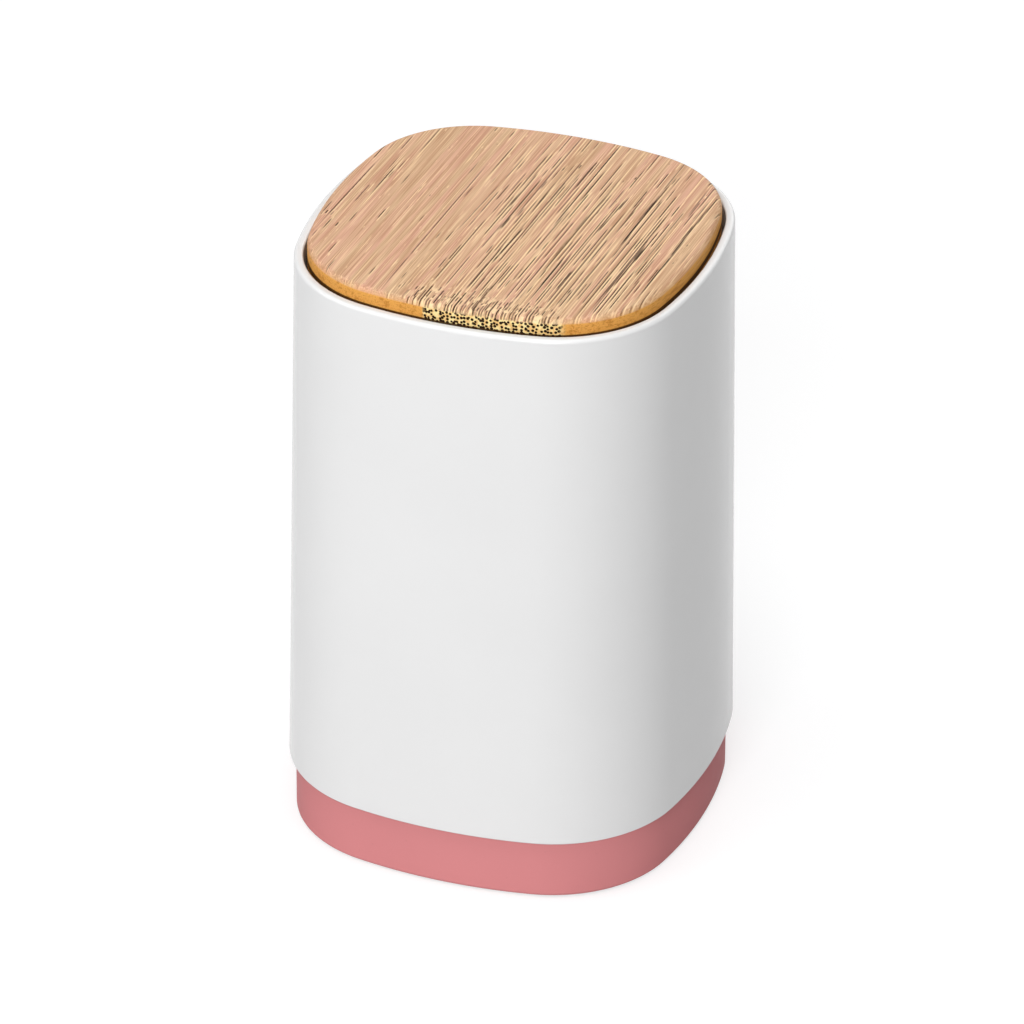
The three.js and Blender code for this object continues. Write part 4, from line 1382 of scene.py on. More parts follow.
@cache
def coil_spring_tree() -> Tree:
    """Makes the tree that winds a compression spring with a closer turn at each end.

    Returns:
        The tree.
    """
    graph, given, result = group_graph(
        "coil_spring",
        "GeometryNodeTree",
        [
            *outputs("Spring", kind="Geometry"),
            PLACE,
            *inputs("Turns", "End Pitch", "Low", "High", "Coil Radius", "Wire Radius"),
            Port("Steps per Turn", "Int", 28),
            Port("Wire Sides", "Int", 12),
            MATERIAL,
        ],
    )
    count = graph.scaled(given["Turns"], given["Steps per Turn"], 1.0)
    line = graph.node("GeometryNodeCurvePrimitiveLine").outputs[0]
    line = graph.node("GeometryNodeResampleCurve", line)
    graph.feed(line.inputs["Count"], count)
    turns = graph.divided(graph.node("GeometryNodeInputIndex").outputs[0], given["Steps per Turn"])
    open_turns = graph.minus(given["Turns"], 2.0)
    ends = graph.times(given["End Pitch"], 2.0)
    span = graph.minus(graph.minus(given["High"], given["Low"]), ends)
    open_pitch = graph.divided(span, open_turns)
    opened = graph.math("MINIMUM", graph.most(graph.minus(turns, 1.0), 0.0), open_turns)
    z = graph.scaled(opened, open_pitch, given["Low"])
    z = graph.scaled(graph.minus(turns, opened), given["End Pitch"], z)
    angle = graph.times(turns, math.tau)
    x = graph.times(graph.math("COSINE", angle), given["Coil Radius"])
    y = graph.times(graph.math("SINE", angle), given["Coil Radius"])
    spot = graph.vector("ADD", graph.xyz(x, y, z), given["Place"])
    wound = graph.node("GeometryNodeSetPosition", line.outputs[0], None, spot).outputs[0]
    finish_wire(graph, wound, given, result)
    return graph.tree


@cache
def bent_wire_tree() -> Tree:
    """Makes the tree that bends a round wire along a path, with a radius at each corner.

    Returns:
        The tree.
    """
    graph, given, result = group_graph(
        "bent_wire",
        "GeometryNodeTree",
        [
            *outputs("Wire", kind="Geometry"),
            *inputs("Path", kind="Geometry"),
            *inputs("Wire Radius", "Bend Radius"),
            Port("Bend Steps", "Int", 10),
            Port("Wire Sides", "Int", 20),
            MATERIAL,
        ],
    )
    path = graph.node("GeometryNodeMeshToCurve", given["Path"]).outputs[0]
    bent = graph.node("GeometryNodeFilletCurve", path, mode="POLY")
    graph.fill(bent, {"Count": given["Bend Steps"], "Radius": given["Bend Radius"]})
    finish_wire(graph, bent.outputs[0], given, result)
    return graph.tree


# What the sub-assemblies share


@dataclass(frozen=True)
class Gaps:
    """The clearances between the pieces."""

    seat: float = 0.1
    screw: float = 0.15
    fit: float = 0.3
    slide: float = 0.55
    ring: float = 0.3
    over: float = 1.0


GAP = Gaps()
OUTLINE = SoftSquare()


def reach_of(node: str) -> tuple[Vector, Vector]:
    """Gives the lowest and the highest corner of a frame node, in millimetres."""
    low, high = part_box(node)
    return low / MM, high / MM


def heights(node: str) -> Pair:
    """Gives the heights of a frame node's bottom and top, in millimetres."""
    low, high = reach_of(node)
    return low.z, high.z


def centre(node: str) -> Triple:
    """Gives the middle of a frame node's box, in millimetres."""
    return tuple((a + b) / 2 for a, b in zip(*reach_of(node), strict=True))


def middle(node: str) -> Pair:
    """Gives where a frame node's middle is along X and along Y, in millimetres."""
    return centre(node)[:2]


def dressed(piece: Piece, finish: Finish, smooth: float = 32.0) -> Piece:
    """Gives a piece its material and smooth shading.

    Args:
        piece: The piece.
        finish: Its finish.
        smooth: Edges sharper than this stay crisp, in degrees.

    Returns:
        The same piece.
    """
    piece.data.materials.clear()
    piece.data.materials.append(finish.material())
    piece.data.polygons.foreach_set("material_index", [0] * len(piece.data.polygons))
    piece.data.shade_smooth()
    piece.data.set_sharp_from_angle(angle=math.radians(smooth))
    return piece


def hand_over(name: str, piece: Piece, body: Body, finish: Finish, *nodes: str) -> Piece:
    """Dresses a finished piece and sets it on its body in place of its frame nodes.

    Args:
        name: The piece's name.
        piece: The piece.
        body: The body that it moves with.
        finish: Its finish.
        nodes: The frame nodes that it stands for.

    Returns:
        The same piece.
    """
    piece.name = name
    piece.data.name = name
    dressed(piece, finish)
    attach(piece, body.value)
    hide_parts(*nodes)
    log.info("%s: %d faces on %s, %s", name, len(piece.data.polygons), body.value, finish.name)
    return piece


def repaint(node: str, finish: Finish) -> None:
    """Gives a frame node that stays as it is a better material.

    Args:
        node: The node.
        finish: Its finish.
    """
    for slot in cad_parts[node].material_slots:
        slot.link = "OBJECT"
        slot.material = finish.material()
    log.info("%s: kept, %s", node, finish.name)


@dataclass(frozen=True)
class Screw:
    """One size of screw, with its thread and its cross recess."""

    kind: ScrewHead
    shaft: float
    head: float
    head_height: float
    length: float
    pitch: float = 0.6
    thread: float = 0.13
    rows_per_pitch: int = 5
    steps: int = 20
    rim: Pair = (0.06, 0.05)
    cross_reach_share: float = 1.15
    cross_width_share: float = 0.28
    cross_depth_share: float = 0.55

    @property
    def pilot(self) -> float:
        """The radius of the hole that it is driven into."""
        return self.shaft + GAP.screw

    @property
    def depth(self) -> float:
        """The depth of that hole from the head's seat or face on."""
        return self.length + GAP.screw

    @property
    def face(self) -> float:
        """The height of the head's outer face, with the seat of a pan head at 0."""
        return -self.head_height if self.kind is ScrewHead.PAN else 0.0

    def plain(self) -> Piece:
        """Makes the screw before its thread and its recess are cut.

        Returns:
            The piece, with its tip up.
        """
        shaft, head, tall = self.shaft, self.head, self.head_height
        if self.kind is ScrewHead.PAN:
            ease = tall / 2
            crown = [(0, -tall), *arc(head - ease, ease - tall, ease, -90, 0, 5), (head, 0.0)]
            start = 0.0
        else:
            crown = [(0, 0), (head - self.rim[0], 0), (head, self.rim[1])]
            start = tall
        rows = round((self.length - start) / self.pitch * self.rows_per_pitch)
        stem = [(shaft, start + (self.length - start) * i / rows) for i in range(rows + 1)]
        return turned("screw", [*crown, *stem, (0, self.length)], self.steps)

    def made(self) -> Piece:
        """Makes the finished screw.

        Returns:
            The piece, with its tip up.
        """
        start = self.head_height if self.kind is ScrewHead.FLAT else 0.0
        values = {
            "Thread Start": (start + self.pitch / 2) * MM,
            "Pitch": self.pitch * MM,
            "Thread Depth": self.thread * MM,
            "Head Face": self.face * MM,
            "Cross Reach": self.head * self.cross_reach_share * MM,
            "Cross Width": self.head * self.cross_width_share * MM,
            "Cross Depth": self.head_height * self.cross_depth_share * MM,
        }
        return set_inputs(self.plain(), threaded_screw_tree(), values)

    def room(self, face: float, down: bool = False) -> list[Pair]:
        """Gives the profile of the room that a flat-headed screw needs.

        Args:
            face: The height of its head's face.
            down: Whether its tip points down.

        Returns:
            The profile, going up.
        """
        head = self.head + GAP.screw
        rise = [(0, -GAP.over), (head, -GAP.over), (head, 0), (self.pilot, self.head_height + GAP.seat)]
        rise += [(self.pilot, self.depth), (0, self.depth)]
        if down:
            return [(r, face - z) for r, z in reversed(rise)]
        return [(r, face + z) for r, z in rise]

    def rooms(self, nodes: Sequence[str], face: float, down: bool = False, steps: int = 48) -> list[Piece]:
        """Makes the room that each flat-headed screw needs, with its head's face at a height."""
        return [turned("room", self.room(face, down), steps, *middle(node)) for node in nodes]

    def place(self, node: str, facing: Facing) -> Triple:
        """Finds where a screw's zero height is from its frame node.

        Args:
            node: The screw's node.
            facing: Which way its tip points.

        Returns:
            The place.
        """
        low, high = reach_of(node)
        spot = list(centre(node))
        axis = 0 if facing in (Facing.PLUS_X, Facing.MINUS_X) else 2
        if facing in (Facing.UP, Facing.PLUS_X):
            spot[axis] = low[axis] - self.face
        else:
            spot[axis] = high[axis] + self.face
        return tuple(spot)

    def set_of(self, name: str, nodes: Sequence[str], facing: Facing, body: Body) -> None:
        """Makes all the screws of one kind in one sub-assembly.

        Args:
            name: The set's name.
            nodes: The frame nodes of the screws.
            facing: Which way their tips point.
            body: The body that they move with.
        """
        places = [self.place(node, facing) for node in nodes]
        made = placed_set(name, self.made(), places, [facing.value] * len(nodes), STEEL)
        hand_over(name, made, body, STEEL, *nodes)


LARGE = {"shaft": 1.0, "head": 1.9, "head_height": 1.1}
SMALL = {"shaft": 0.8, "head": 1.6, "head_height": 0.8}
COVER_SCREW = Screw(ScrewHead.FLAT, length=8.0, **LARGE)
ROD_FOOT_SCREW = Screw(ScrewHead.PAN, length=7.0, **LARGE)
ROD_TOP_SCREW = Screw(ScrewHead.FLAT, length=7.0, **LARGE)
UPRIGHT_SCREW = Screw(ScrewHead.PAN, length=5.0, **LARGE)
LID_SCREW = Screw(ScrewHead.FLAT, length=5.0, **SMALL)
POST_SCREW = Screw(ScrewHead.FLAT, length=8.0, **SMALL)
CUP_SCREW = Screw(ScrewHead.FLAT, length=7.0, **SMALL)
DAMPER_SCREW = Screw(ScrewHead.PAN, length=3.8, **SMALL)
LEAF_SCREW = Screw(ScrewHead.PAN, length=1.6, pitch=0.4, **SMALL)


def numbered(name: str, count: int) -> list[str]:
    """Gives the names of a node's copies: name_1, name_2 and so on."""
    return [f"{name}_{i + 1}" for i in range(count)]


# Sub-assemblies


@dataclass(frozen=True)
class Snaps:
    """Four snaps on the plinth's collar that click into the sleeve."""

    collar_offset: float
    ledge: float
    back: float = 0.9
    width: float = 10.0
    height: float = 2.0
    depth: float = 0.7
    rise: float = 2.2

    def blocks(self, gap: float) -> list[Piece]:
        """Makes the snaps.

        Args:
            gap: How much larger they are all round.

        Returns:
            One block in the middle of each side.
        """
        face = OUTLINE.half_width + self.collar_offset
        out, back = face + self.depth + gap, face - self.back
        across = (-self.width / 2 - gap, self.width / 2 + gap)
        up = (self.ledge + self.rise - gap, self.ledge + self.rise + self.height + gap)
        return [
            block((back, out), across, up),
            block((-out, -back), across, up),
            block(across, (back, out), up),
            block(across, (-out, -back), up),
        ]


@dataclass(frozen=True)
class Sleeve:
    """The white sleeve: a bowed square shell that widens a little towards its foot."""

    wall: float = 1.4
    draft: float = 1.3
    rim_round: float = 0.6
    rim_inner_round: float = 0.35
    hem_round: float = 0.2
    hem_inner_round: float = 0.15

    def inside(self, z: float) -> float:
        """Gives the offset of the inner face at a height."""
        low, high = heights("outer_sleeve")
        return self.draft * (high - z) / (high - low) - self.wall

    def profile(self) -> list[Pair]:
        """Gives the section of the wall, up the outside and down the inside.

        Returns:
            Points of offset and height.
        """
        low, high = heights("outer_sleeve")
        hem, rim, lip, ease = self.hem_round, self.rim_round, self.rim_inner_round, self.hem_inner_round
        return [
            *arc(self.draft - hem, low + hem, hem, -90, 0, 6),
            *arc(-rim, high - rim, rim, 0, 90, 8),
            *arc(lip - self.wall, high - lip, lip, 90, 180, 6),
            *arc(self.inside(low) + ease, low + ease, ease, 180, 270, 4),
        ]

    def build(self, snaps: Snaps) -> None:
        """Makes the sleeve.

        Args:
            snaps: The plinth's snaps, which need pockets in the sleeve's wall.
        """
        shell = OUTLINE.skin("sleeve", self.profile(), closed=True)
        cut(shell, *snaps.blocks(GAP.fit))
        hand_over("sleeve_shell", shell, Body.STAND, WHITE, "outer_sleeve")


@dataclass(frozen=True)
class Plinth:
    """The pink plinth with its deck, its bottom cover, the cover's screws and four rubber feet."""

    sleeve: Sleeve = Sleeve()
    inset: float = 1.0
    edge: float = 0.5
    wall: float = 1.8
    collar_clearance: float = 0.35
    deck: float = 1.8
    cover_lip: float = 1.2
    cover_thickness: float = 1.6
    boss: float = 3.0
    rod_boss: float = 4.6
    rod_boss_depth: float = 6.0
    rod: float = 2.0
    rod_sink: float = 3.0
    ledge_edge: float = 0.15
    foot_edge: float = 0.25
    foot_steps: int = 64
    sole_rings: Triple = (1.1, 2.2, 3.3)
    groove_top: float = 0.18
    groove_foot: float = 0.09
    groove_depth: float = 0.1

    @property
    def offset(self) -> float:
        """The offset of the plinth's outer face."""
        return self.sleeve.draft - self.inset

    @property
    def collar(self) -> float:
        """The offset of the collar that goes up inside the sleeve."""
        return self.sleeve.draft - self.sleeve.wall - self.collar_clearance

    def snaps(self) -> Snaps:
        """Gives the snaps that hold the sleeve."""
        return Snaps(self.collar, heights("outer_sleeve")[0] - GAP.seat)

    def body(self) -> Piece:
        """Makes the plinth.

        Returns:
            The piece.
        """
        low, deck_top = heights("base_plinth")
        ledge = heights("outer_sleeve")[0] - GAP.seat
        ease, small = self.edge, self.ledge_edge
        profile = [
            *arc(self.offset - ease, low + ease, ease, -90, 0, 8),
            *arc(self.offset - small, ledge - small, small, 0, 90, 4),
            (self.collar, ledge),
            (self.collar, deck_top - ease),
            (self.collar - ease, deck_top),
        ]
        body = OUTLINE.skin("plinth", profile)
        join(body, *self.snaps().blocks(0.0))
        cover_top = low + self.cover_thickness + GAP.seat
        under = deck_top - self.deck
        cut(
            body,
            OUTLINE.prism(self.offset - self.cover_lip, low - GAP.over, cover_top),
            OUTLINE.prism(self.collar - self.wall, cover_top - GAP.over, under),
        )
        half_deck = deck_top - self.deck / 2
        rods = [middle(node) for node in numbered("guide_rod", 2)]
        rod_low = deck_top - self.rod_boss_depth
        screws = numbered("cover_screw", 4)
        bosses = [rod(self.boss, cover_top, half_deck, *middle(node)) for node in screws]
        bosses += [rod(self.rod_boss, rod_low, half_deck, x, y) for x, y in rods]
        join(body, *bosses)
        pilot = COVER_SCREW.pilot
        holes = COVER_SCREW.rooms(screws, low)
        for x, y in rods:
            sunk = deck_top - self.rod_sink - GAP.seat
            holes.append(rod(self.rod + GAP.screw, sunk, deck_top + GAP.over, x, y))
            holes.append(rod(pilot, rod_low - GAP.over, deck_top, x, y))
        for node in ("rack_screw", "cam_screw"):
            holes.append(rod(pilot, under - GAP.over, deck_top + GAP.over, *middle(node)))
        return cut(body, *holes)

    def cover(self) -> Piece:
        """Makes the bottom cover.

        Returns:
            The piece.
        """
        low, high = heights("base_cover")
        offset = self.offset - self.cover_lip - GAP.fit
        ease = self.edge / 2
        cover = OUTLINE.skin("cover", [*arc(offset - ease, low + ease, ease, -90, 0, 6), (offset, high)])
        holes = COVER_SCREW.rooms(numbered("cover_screw", 4), low)
        for node in numbered("foot_pad", 4):
            foot_low, foot_high = reach_of(node)
            wide = (foot_high.x - foot_low.x) / 2 + GAP.fit
            holes.append(rod(wide, low - GAP.over, foot_high.z + GAP.seat, *middle(node), self.foot_steps))
        return cut(cover, *holes)

    def feet(self) -> Piece:
        """Makes the feet, each with a rounded edge and shallow rings in its sole.

        Returns:
            The four feet.
        """
        nodes = numbered("foot_pad", 4)
        low, high = reach_of(nodes[0])
        wide, tall = (high.x - low.x) / 2, high.z
        top, foot, deep, ease = self.groove_top, self.groove_foot, self.groove_depth, self.foot_edge
        sole = [(0.0, 0.0)]
        for ring in self.sole_rings:
            sole += [(ring - top, 0.0), (ring - foot, deep), (ring + foot, deep), (ring + top, 0.0)]
        profile = [*sole, *arc(wide - ease, ease, ease, -90, 0, 5), (wide, tall), (0, tall)]
        return upright_set("foot_pads", turned("foot", profile, self.foot_steps), nodes, RUBBER)

    def build(self) -> None:
        """Makes the plinth, its cover, its screws and its feet."""
        hand_over("plinth_body", self.body(), Body.STAND, PINK, "base_plinth")
        hand_over("bottom_cover", self.cover(), Body.STAND, PINK, "base_cover")
        hand_over("rubber_feet", self.feet(), Body.STAND, RUBBER, *numbered("foot_pad", 4))
        COVER_SCREW.set_of("cover_screws", numbered("cover_screw", 4), Facing.UP, Body.STAND)


@dataclass(frozen=True)
class Guides:
    """The two guide rods with their screws, rubber washers, springs and the bushes that run on them."""

    plinth: Plinth = Plinth()
    rod_ease: float = 0.2
    rod_steps: int = 48
    coil_wire: float = 0.2
    coil_turns: float = 11.0
    coil_end_pitch: float = 1.0
    bush_wall: float = 0.65
    bush_flange: float = 0.8
    bush_flange_height: float = 0.8
    bush_ease: float = 0.15
    washer_ease: float = 0.2

    @property
    def bore(self) -> float:
        """The radius of a hole that runs on a rod."""
        return self.plinth.rod + GAP.screw

    @property
    def bush(self) -> float:
        """The radius of a bush under its flange."""
        return self.bore + self.bush_wall

    def rods(self) -> Piece:
        """Makes both rods, tapped at their ends.

        Returns:
            The rods.
        """
        low, high = heights("guide_rod_1")
        deck_top = heights("base_plinth")[1]
        ring_top = heights("well_ring")[1]
        wide, ease = self.plinth.rod, self.rod_ease
        profile = [(0, low), (wide - ease, low), (wide, low + ease)]
        profile += [(wide, high - ease), (wide - ease, high), (0, high)]
        shaft = turned("shaft", profile, self.rod_steps)
        pilot, deep = ROD_TOP_SCREW.pilot, ROD_TOP_SCREW.depth
        foot_end = deck_top - self.plinth.rod_boss_depth + deep
        cut(shaft, rod(pilot, low - GAP.over, foot_end), rod(pilot, ring_top - deep, high + GAP.over))
        return upright_set("rods", shaft, numbered("guide_rod", 2), POLISHED)

    def springs(self) -> Piece:
        """Winds both springs.

        Returns:
            The springs.
        """
        coils = []
        for node in numbered("lift_spring", 2):
            low, high = reach_of(node)
            values = {
                "Place": Vector((*middle("guide_rod" + node[-2:]), 0.0)) * MM,
                "Turns": self.coil_turns,
                "End Pitch": self.coil_end_pitch * MM,
                "Low": (low.z + self.coil_wire) * MM,
                "High": (high.z - self.coil_wire) * MM,
                "Coil Radius": ((high.x - low.x) / 2 - self.coil_wire) * MM,
                "Wire Radius": self.coil_wire * MM,
                "Material": SPRING_STEEL.material(),
            }
            coils.append(set_inputs(mesh_piece("coil", []), coil_spring_tree(), values))
        return merged("springs", coils)

    def washers(self) -> Piece:
        """Makes the rubber washers that end the rise.

        Returns:
            The washers.
        """
        low, high = reach_of("bumper_washer_1")
        outer, bore, ease = (high.x - low.x) / 2, self.bore, self.washer_ease
        profile = [
            (bore, low.z),
            *arc(outer - ease, low.z + ease, ease, -90, 0, 4),
            *arc(outer - ease, high.z - ease, ease, 0, 90, 4),
            (bore, high.z),
        ]
        return upright_set("washers", turned("washer", profile), numbered("bumper_washer", 2), RUBBER)

    def bushes(self) -> Piece:
        """Makes the flanged bushes.

        Returns:
            The bushes.
        """
        low, high = heights("rod_bush_1")
        bore, body = self.bore, self.bush
        flange, ledge, ease = body + self.bush_flange, low + self.bush_flange_height, self.bush_ease
        profile = [
            (bore + ease, low),
            (flange - ease, low),
            (flange, low + ease),
            (flange, ledge),
            (body, ledge),
            (body, high - ease),
            (body - ease, high),
            (bore + ease, high),
            (bore, high - ease),
            (bore, low + ease),
        ]
        return upright_set("bushes", turned("bush", profile), numbered("rod_bush", 2), ACETAL)

    def build(self) -> None:
        """Makes the guides."""
        hand_over("guide_rods", self.rods(), Body.STAND, POLISHED, *numbered("guide_rod", 2))
        hand_over("rubber_washers", self.washers(), Body.STAND, RUBBER, *numbered("bumper_washer", 2))
        hand_over("flanged_bushes", self.bushes(), Body.LIFT, ACETAL, *numbered("rod_bush", 2))
        ROD_FOOT_SCREW.set_of("rod_foot_screws", numbered("rod_foot_screw", 2), Facing.UP, Body.STAND)
        ROD_TOP_SCREW.set_of("rod_top_screws", numbered("rod_top_screw", 2), Facing.DOWN, Body.STAND)
        springs = dressed(self.springs(), SPRING_STEEL)
        springs.name = "coil_springs"
        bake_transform(springs)
        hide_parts(*numbered("lift_spring", 2))
        log.info("coil_springs: %d faces between stand and lift", len(springs.data.polygons))


@dataclass(frozen=True)
class WellRing:
    """The ring that closes the space round the cup."""

    sleeve: Sleeve = Sleeve()
    tenon_width: float = 4.0
    tenon_thickness: float = 1.4
    uprights_at: float = 25.5
    edge: float = 0.2
    steps: int = 160

    def build(self) -> None:
        """Makes the ring."""
        low, high = heights("well_ring")
        offset = self.sleeve.inside(high) - GAP.ring
        ease = self.edge
        ring = OUTLINE.skin("ring", [(offset, low), *arc(offset - ease, high - ease, ease, 0, 90, 4)])
        through = (low - GAP.over, high + GAP.over)
        holes = [rod(reach_of("pick_cup")[1].x + GAP.slide, *through, steps=self.steps)]
        holes += ROD_TOP_SCREW.rooms(numbered("rod_top_screw", 2), high, down=True)
        slot = (self.uprights_at - GAP.fit, self.uprights_at + self.tenon_thickness + GAP.fit)
        half = self.tenon_width / 2 + GAP.fit
        rack = middle("rack_screw")[1]
        holes.append(block(slot, (-half, half), through))
        holes.append(block((-slot[1], -slot[0]), (rack - half, rack + half), through))
        hand_over("well_ring_plate", cut(ring, *holes), Body.STAND, INNER, "well_ring")


@dataclass(frozen=True)
class Lid:
    """The bamboo lid, the plate that carries it and their screws."""

    sleeve: Sleeve = Sleeve()
    edge: float = 1.0
    under_edge: float = 0.4
    plate_inset: float = 0.6
    plate_edge: float = 0.25
    room_steps: int = 40

    @property
    def offset(self) -> float:
        """The offset of the lid's side."""
        return -self.sleeve.wall - GAP.slide

    def bamboo(self) -> Piece:
        """Makes the bamboo lid.

        Returns:
            The piece.
        """
        low, high = heights("bamboo_lid")
        plate_low = heights("lid_plate")[0]
        ease, under = self.edge, self.under_edge
        profile = [(self.offset - under, low), (self.offset, low + under)]
        profile += arc(self.offset - ease, high - ease, ease, 0, 90, 12)
        end = plate_low + LID_SCREW.depth
        screws = numbered("lid_screw", 4)
        holes = [rod(LID_SCREW.pilot, low - GAP.over, end, *middle(node)) for node in screws]
        return cut(OUTLINE.skin("lid", profile), *holes)

    def plate(self) -> Piece:
        """Makes the plate under the bamboo.

        Returns:
            The piece.
        """
        low, high = heights("lid_plate")
        offset, ease = self.offset - self.plate_inset, self.plate_edge
        plate = OUTLINE.skin("plate", [*arc(offset - ease, low + ease, ease, -90, 0, 5), (offset, high)])
        holes = LID_SCREW.rooms(numbered("lid_screw", 4), low, steps=self.room_steps)
        holes += POST_SCREW.rooms(numbered("post_screw", 4), high, down=True, steps=self.room_steps)
        return cut(plate, *holes)

    def build(self) -> None:
        """Makes the lid."""
        hand_over("bamboo_top", self.bamboo(), Body.LIFT, BAMBOO, "bamboo_lid")
        hand_over("carrier_plate", self.plate(), Body.LIFT, INNER, "lid_plate")
        LID_SCREW.set_of("lid_screws", numbered("lid_screw", 4), Facing.UP, Body.LIFT)
        POST_SCREW.set_of("post_screws", numbered("post_screw", 4), Facing.DOWN, Body.LIFT)


@dataclass(frozen=True)
class Cup:
    """The round toothpick cup with its four windows and four posts."""

    wall: float = 1.1
    floor: float = 1.5
    window_width: float = 24.0
    window_height: float = 25.0
    top_band: float = 3.4
    post: float = 2.1
    edge: float = 0.3
    steps: int = 144
    post_steps: int = 32
    hole_steps: int = 24

    def body(self) -> Piece:
        """Makes the cup.

        Returns:
            The piece.
        """
        low, high = heights("pick_cup")
        outer = reach_of("pick_cup")[1].x
        floor, inner = low + self.floor, outer - self.wall
        ease = self.edge
        profile = [(0, low), *arc(outer - ease, low + ease, ease, -90, 0, 4), (outer, high), (inner, high)]
        profile += [*reversed(arc(inner - ease, floor + ease, ease, -90, 0, 4)), (0, floor)]
        cup = turned("cup", profile, self.steps)
        half = self.window_width / 2
        across = (-outer - GAP.over, outer + GAP.over)
        window_top = high - self.top_band
        up = (window_top - self.window_height, window_top)
        cut(cup, block(across, (-half, half), up), block((-half, half), across, up))
        posts = [middle(node) for node in numbered("post_screw", 4)]
        join(cup, *(rod(self.post, floor - self.floor / 2, high, x, y, self.post_steps) for x, y in posts))
        ends = (heights("lid_plate")[1] - POST_SCREW.depth, high + GAP.over)
        holes = [rod(POST_SCREW.pilot, *ends, x, y, self.hole_steps) for x, y in posts]
        ends = (low - GAP.over, heights("lift_carriage")[0] + CUP_SCREW.depth)
        for node in numbered("cup_screw", 2):
            holes.append(rod(CUP_SCREW.pilot, *ends, *middle(node), self.hole_steps))
        return cut(cup, *holes)

    def build(self) -> None:
        """Makes the cup."""
        hand_over("toothpick_cup", self.body(), Body.LIFT, CUP, "pick_cup")


@dataclass(frozen=True)
class Damper:
    """The grease damper on the carriage, its gear and the rack that it rolls along."""

    radius: float = 5.6
    ear: float = 2.0
    circle: float = 7.2
    axle: float = 1.5
    ease: float = 0.3
    steps: int = 96
    ear_steps: int = 40

    def housing(self) -> Piece:
        """Makes the damper's housing.

        Returns:
            The piece.
        """
        low, high = reach_of("damper_housing")
        _, y, z = centre("damper_housing")
        thick = high.x - low.x
        ease = self.ease
        edge = arc(self.radius - ease, thick - ease, ease, 0, 90, 5)
        drum = turned("drum", [(0, 0), (self.radius, 0), *edge, (0, thick)], self.steps)
        spin = Matrix.Rotation(-math.pi / 2, 4, "Y")
        drum.data.transform(Matrix.Translation(Vector((high.x, y, z)) * MM) @ spin)
        ears = [z - self.circle, z + self.circle]
        arms = [cross_rod(self.ear, low.x, high.x, y, at, self.ear_steps) for at in ears]
        arms.append(block((low.x, high.x), (y - self.ear, y + self.ear), (ears[0], ears[1])))
        join(drum, *arms)
        start = low.x - GAP.over
        holes = [cross_rod(DAMPER_SCREW.pilot, start, high.x + GAP.over, y, at) for at in ears]
        bore = self.axle + GAP.screw
        holes.append(cross_rod(bore, start, high.x - thick / 4, y, z, self.ear_steps))
        return cut(drum, *holes)

    def build(self) -> None:
        """Makes the damper; the rack's and the gear's teeth stay those of the frame."""
        hand_over("damper_drum", self.housing(), Body.LIFT, DARK, "damper_housing")
        DAMPER_SCREW.set_of("damper_screws", numbered("damper_screw", 2), Facing.PLUS_X, Body.LIFT)
        repaint("damper_gear", ACETAL)
        repaint("damper_rack", ACETAL)
        UPRIGHT_SCREW.set_of("upright_screws", ["rack_screw", "cam_screw"], Facing.UP, Body.STAND)


@dataclass(frozen=True)
class Latch:
    """The push-push latch: the cam plate, the wire whose tip runs in its track, and the leaf spring."""

    wire: float = 0.5
    wire_plane: float = 24.3

    def follower(self) -> Piece:
        """Bends the latch wire.

        Returns:
            The wire.
        """
        low, high = reach_of("latch_wire")
        tip, pivot = low.z + self.wire, high.z - self.wire
        path = [(low.x, pivot), (self.wire_plane, pivot), (self.wire_plane, tip), (high.x, tip)]
        piece = mesh_piece("wire", [(x, 0.0, z) for x, z in path], [(0, 1), (1, 2), (2, 3)])
        values = {
            "Wire Radius": self.wire * MM,
            "Bend Radius": self.wire * 2 * MM,
            "Material": SPRING_STEEL.material(),
        }
        return set_inputs(piece, bent_wire_tree(), values)

    def build(self) -> None:
        """Makes the latch; the cam plate and the leaf stay those of the frame."""
        hand_over("latch_follower", self.follower(), Body.LIFT, SPRING_STEEL, "latch_wire")
        repaint("latch_cam_plate", ACETAL)
        repaint("latch_leaf", SPRING_STEEL)
        LEAF_SCREW.set_of("leaf_screws", ["leaf_screw"], Facing.MINUS_X, Body.LIFT)


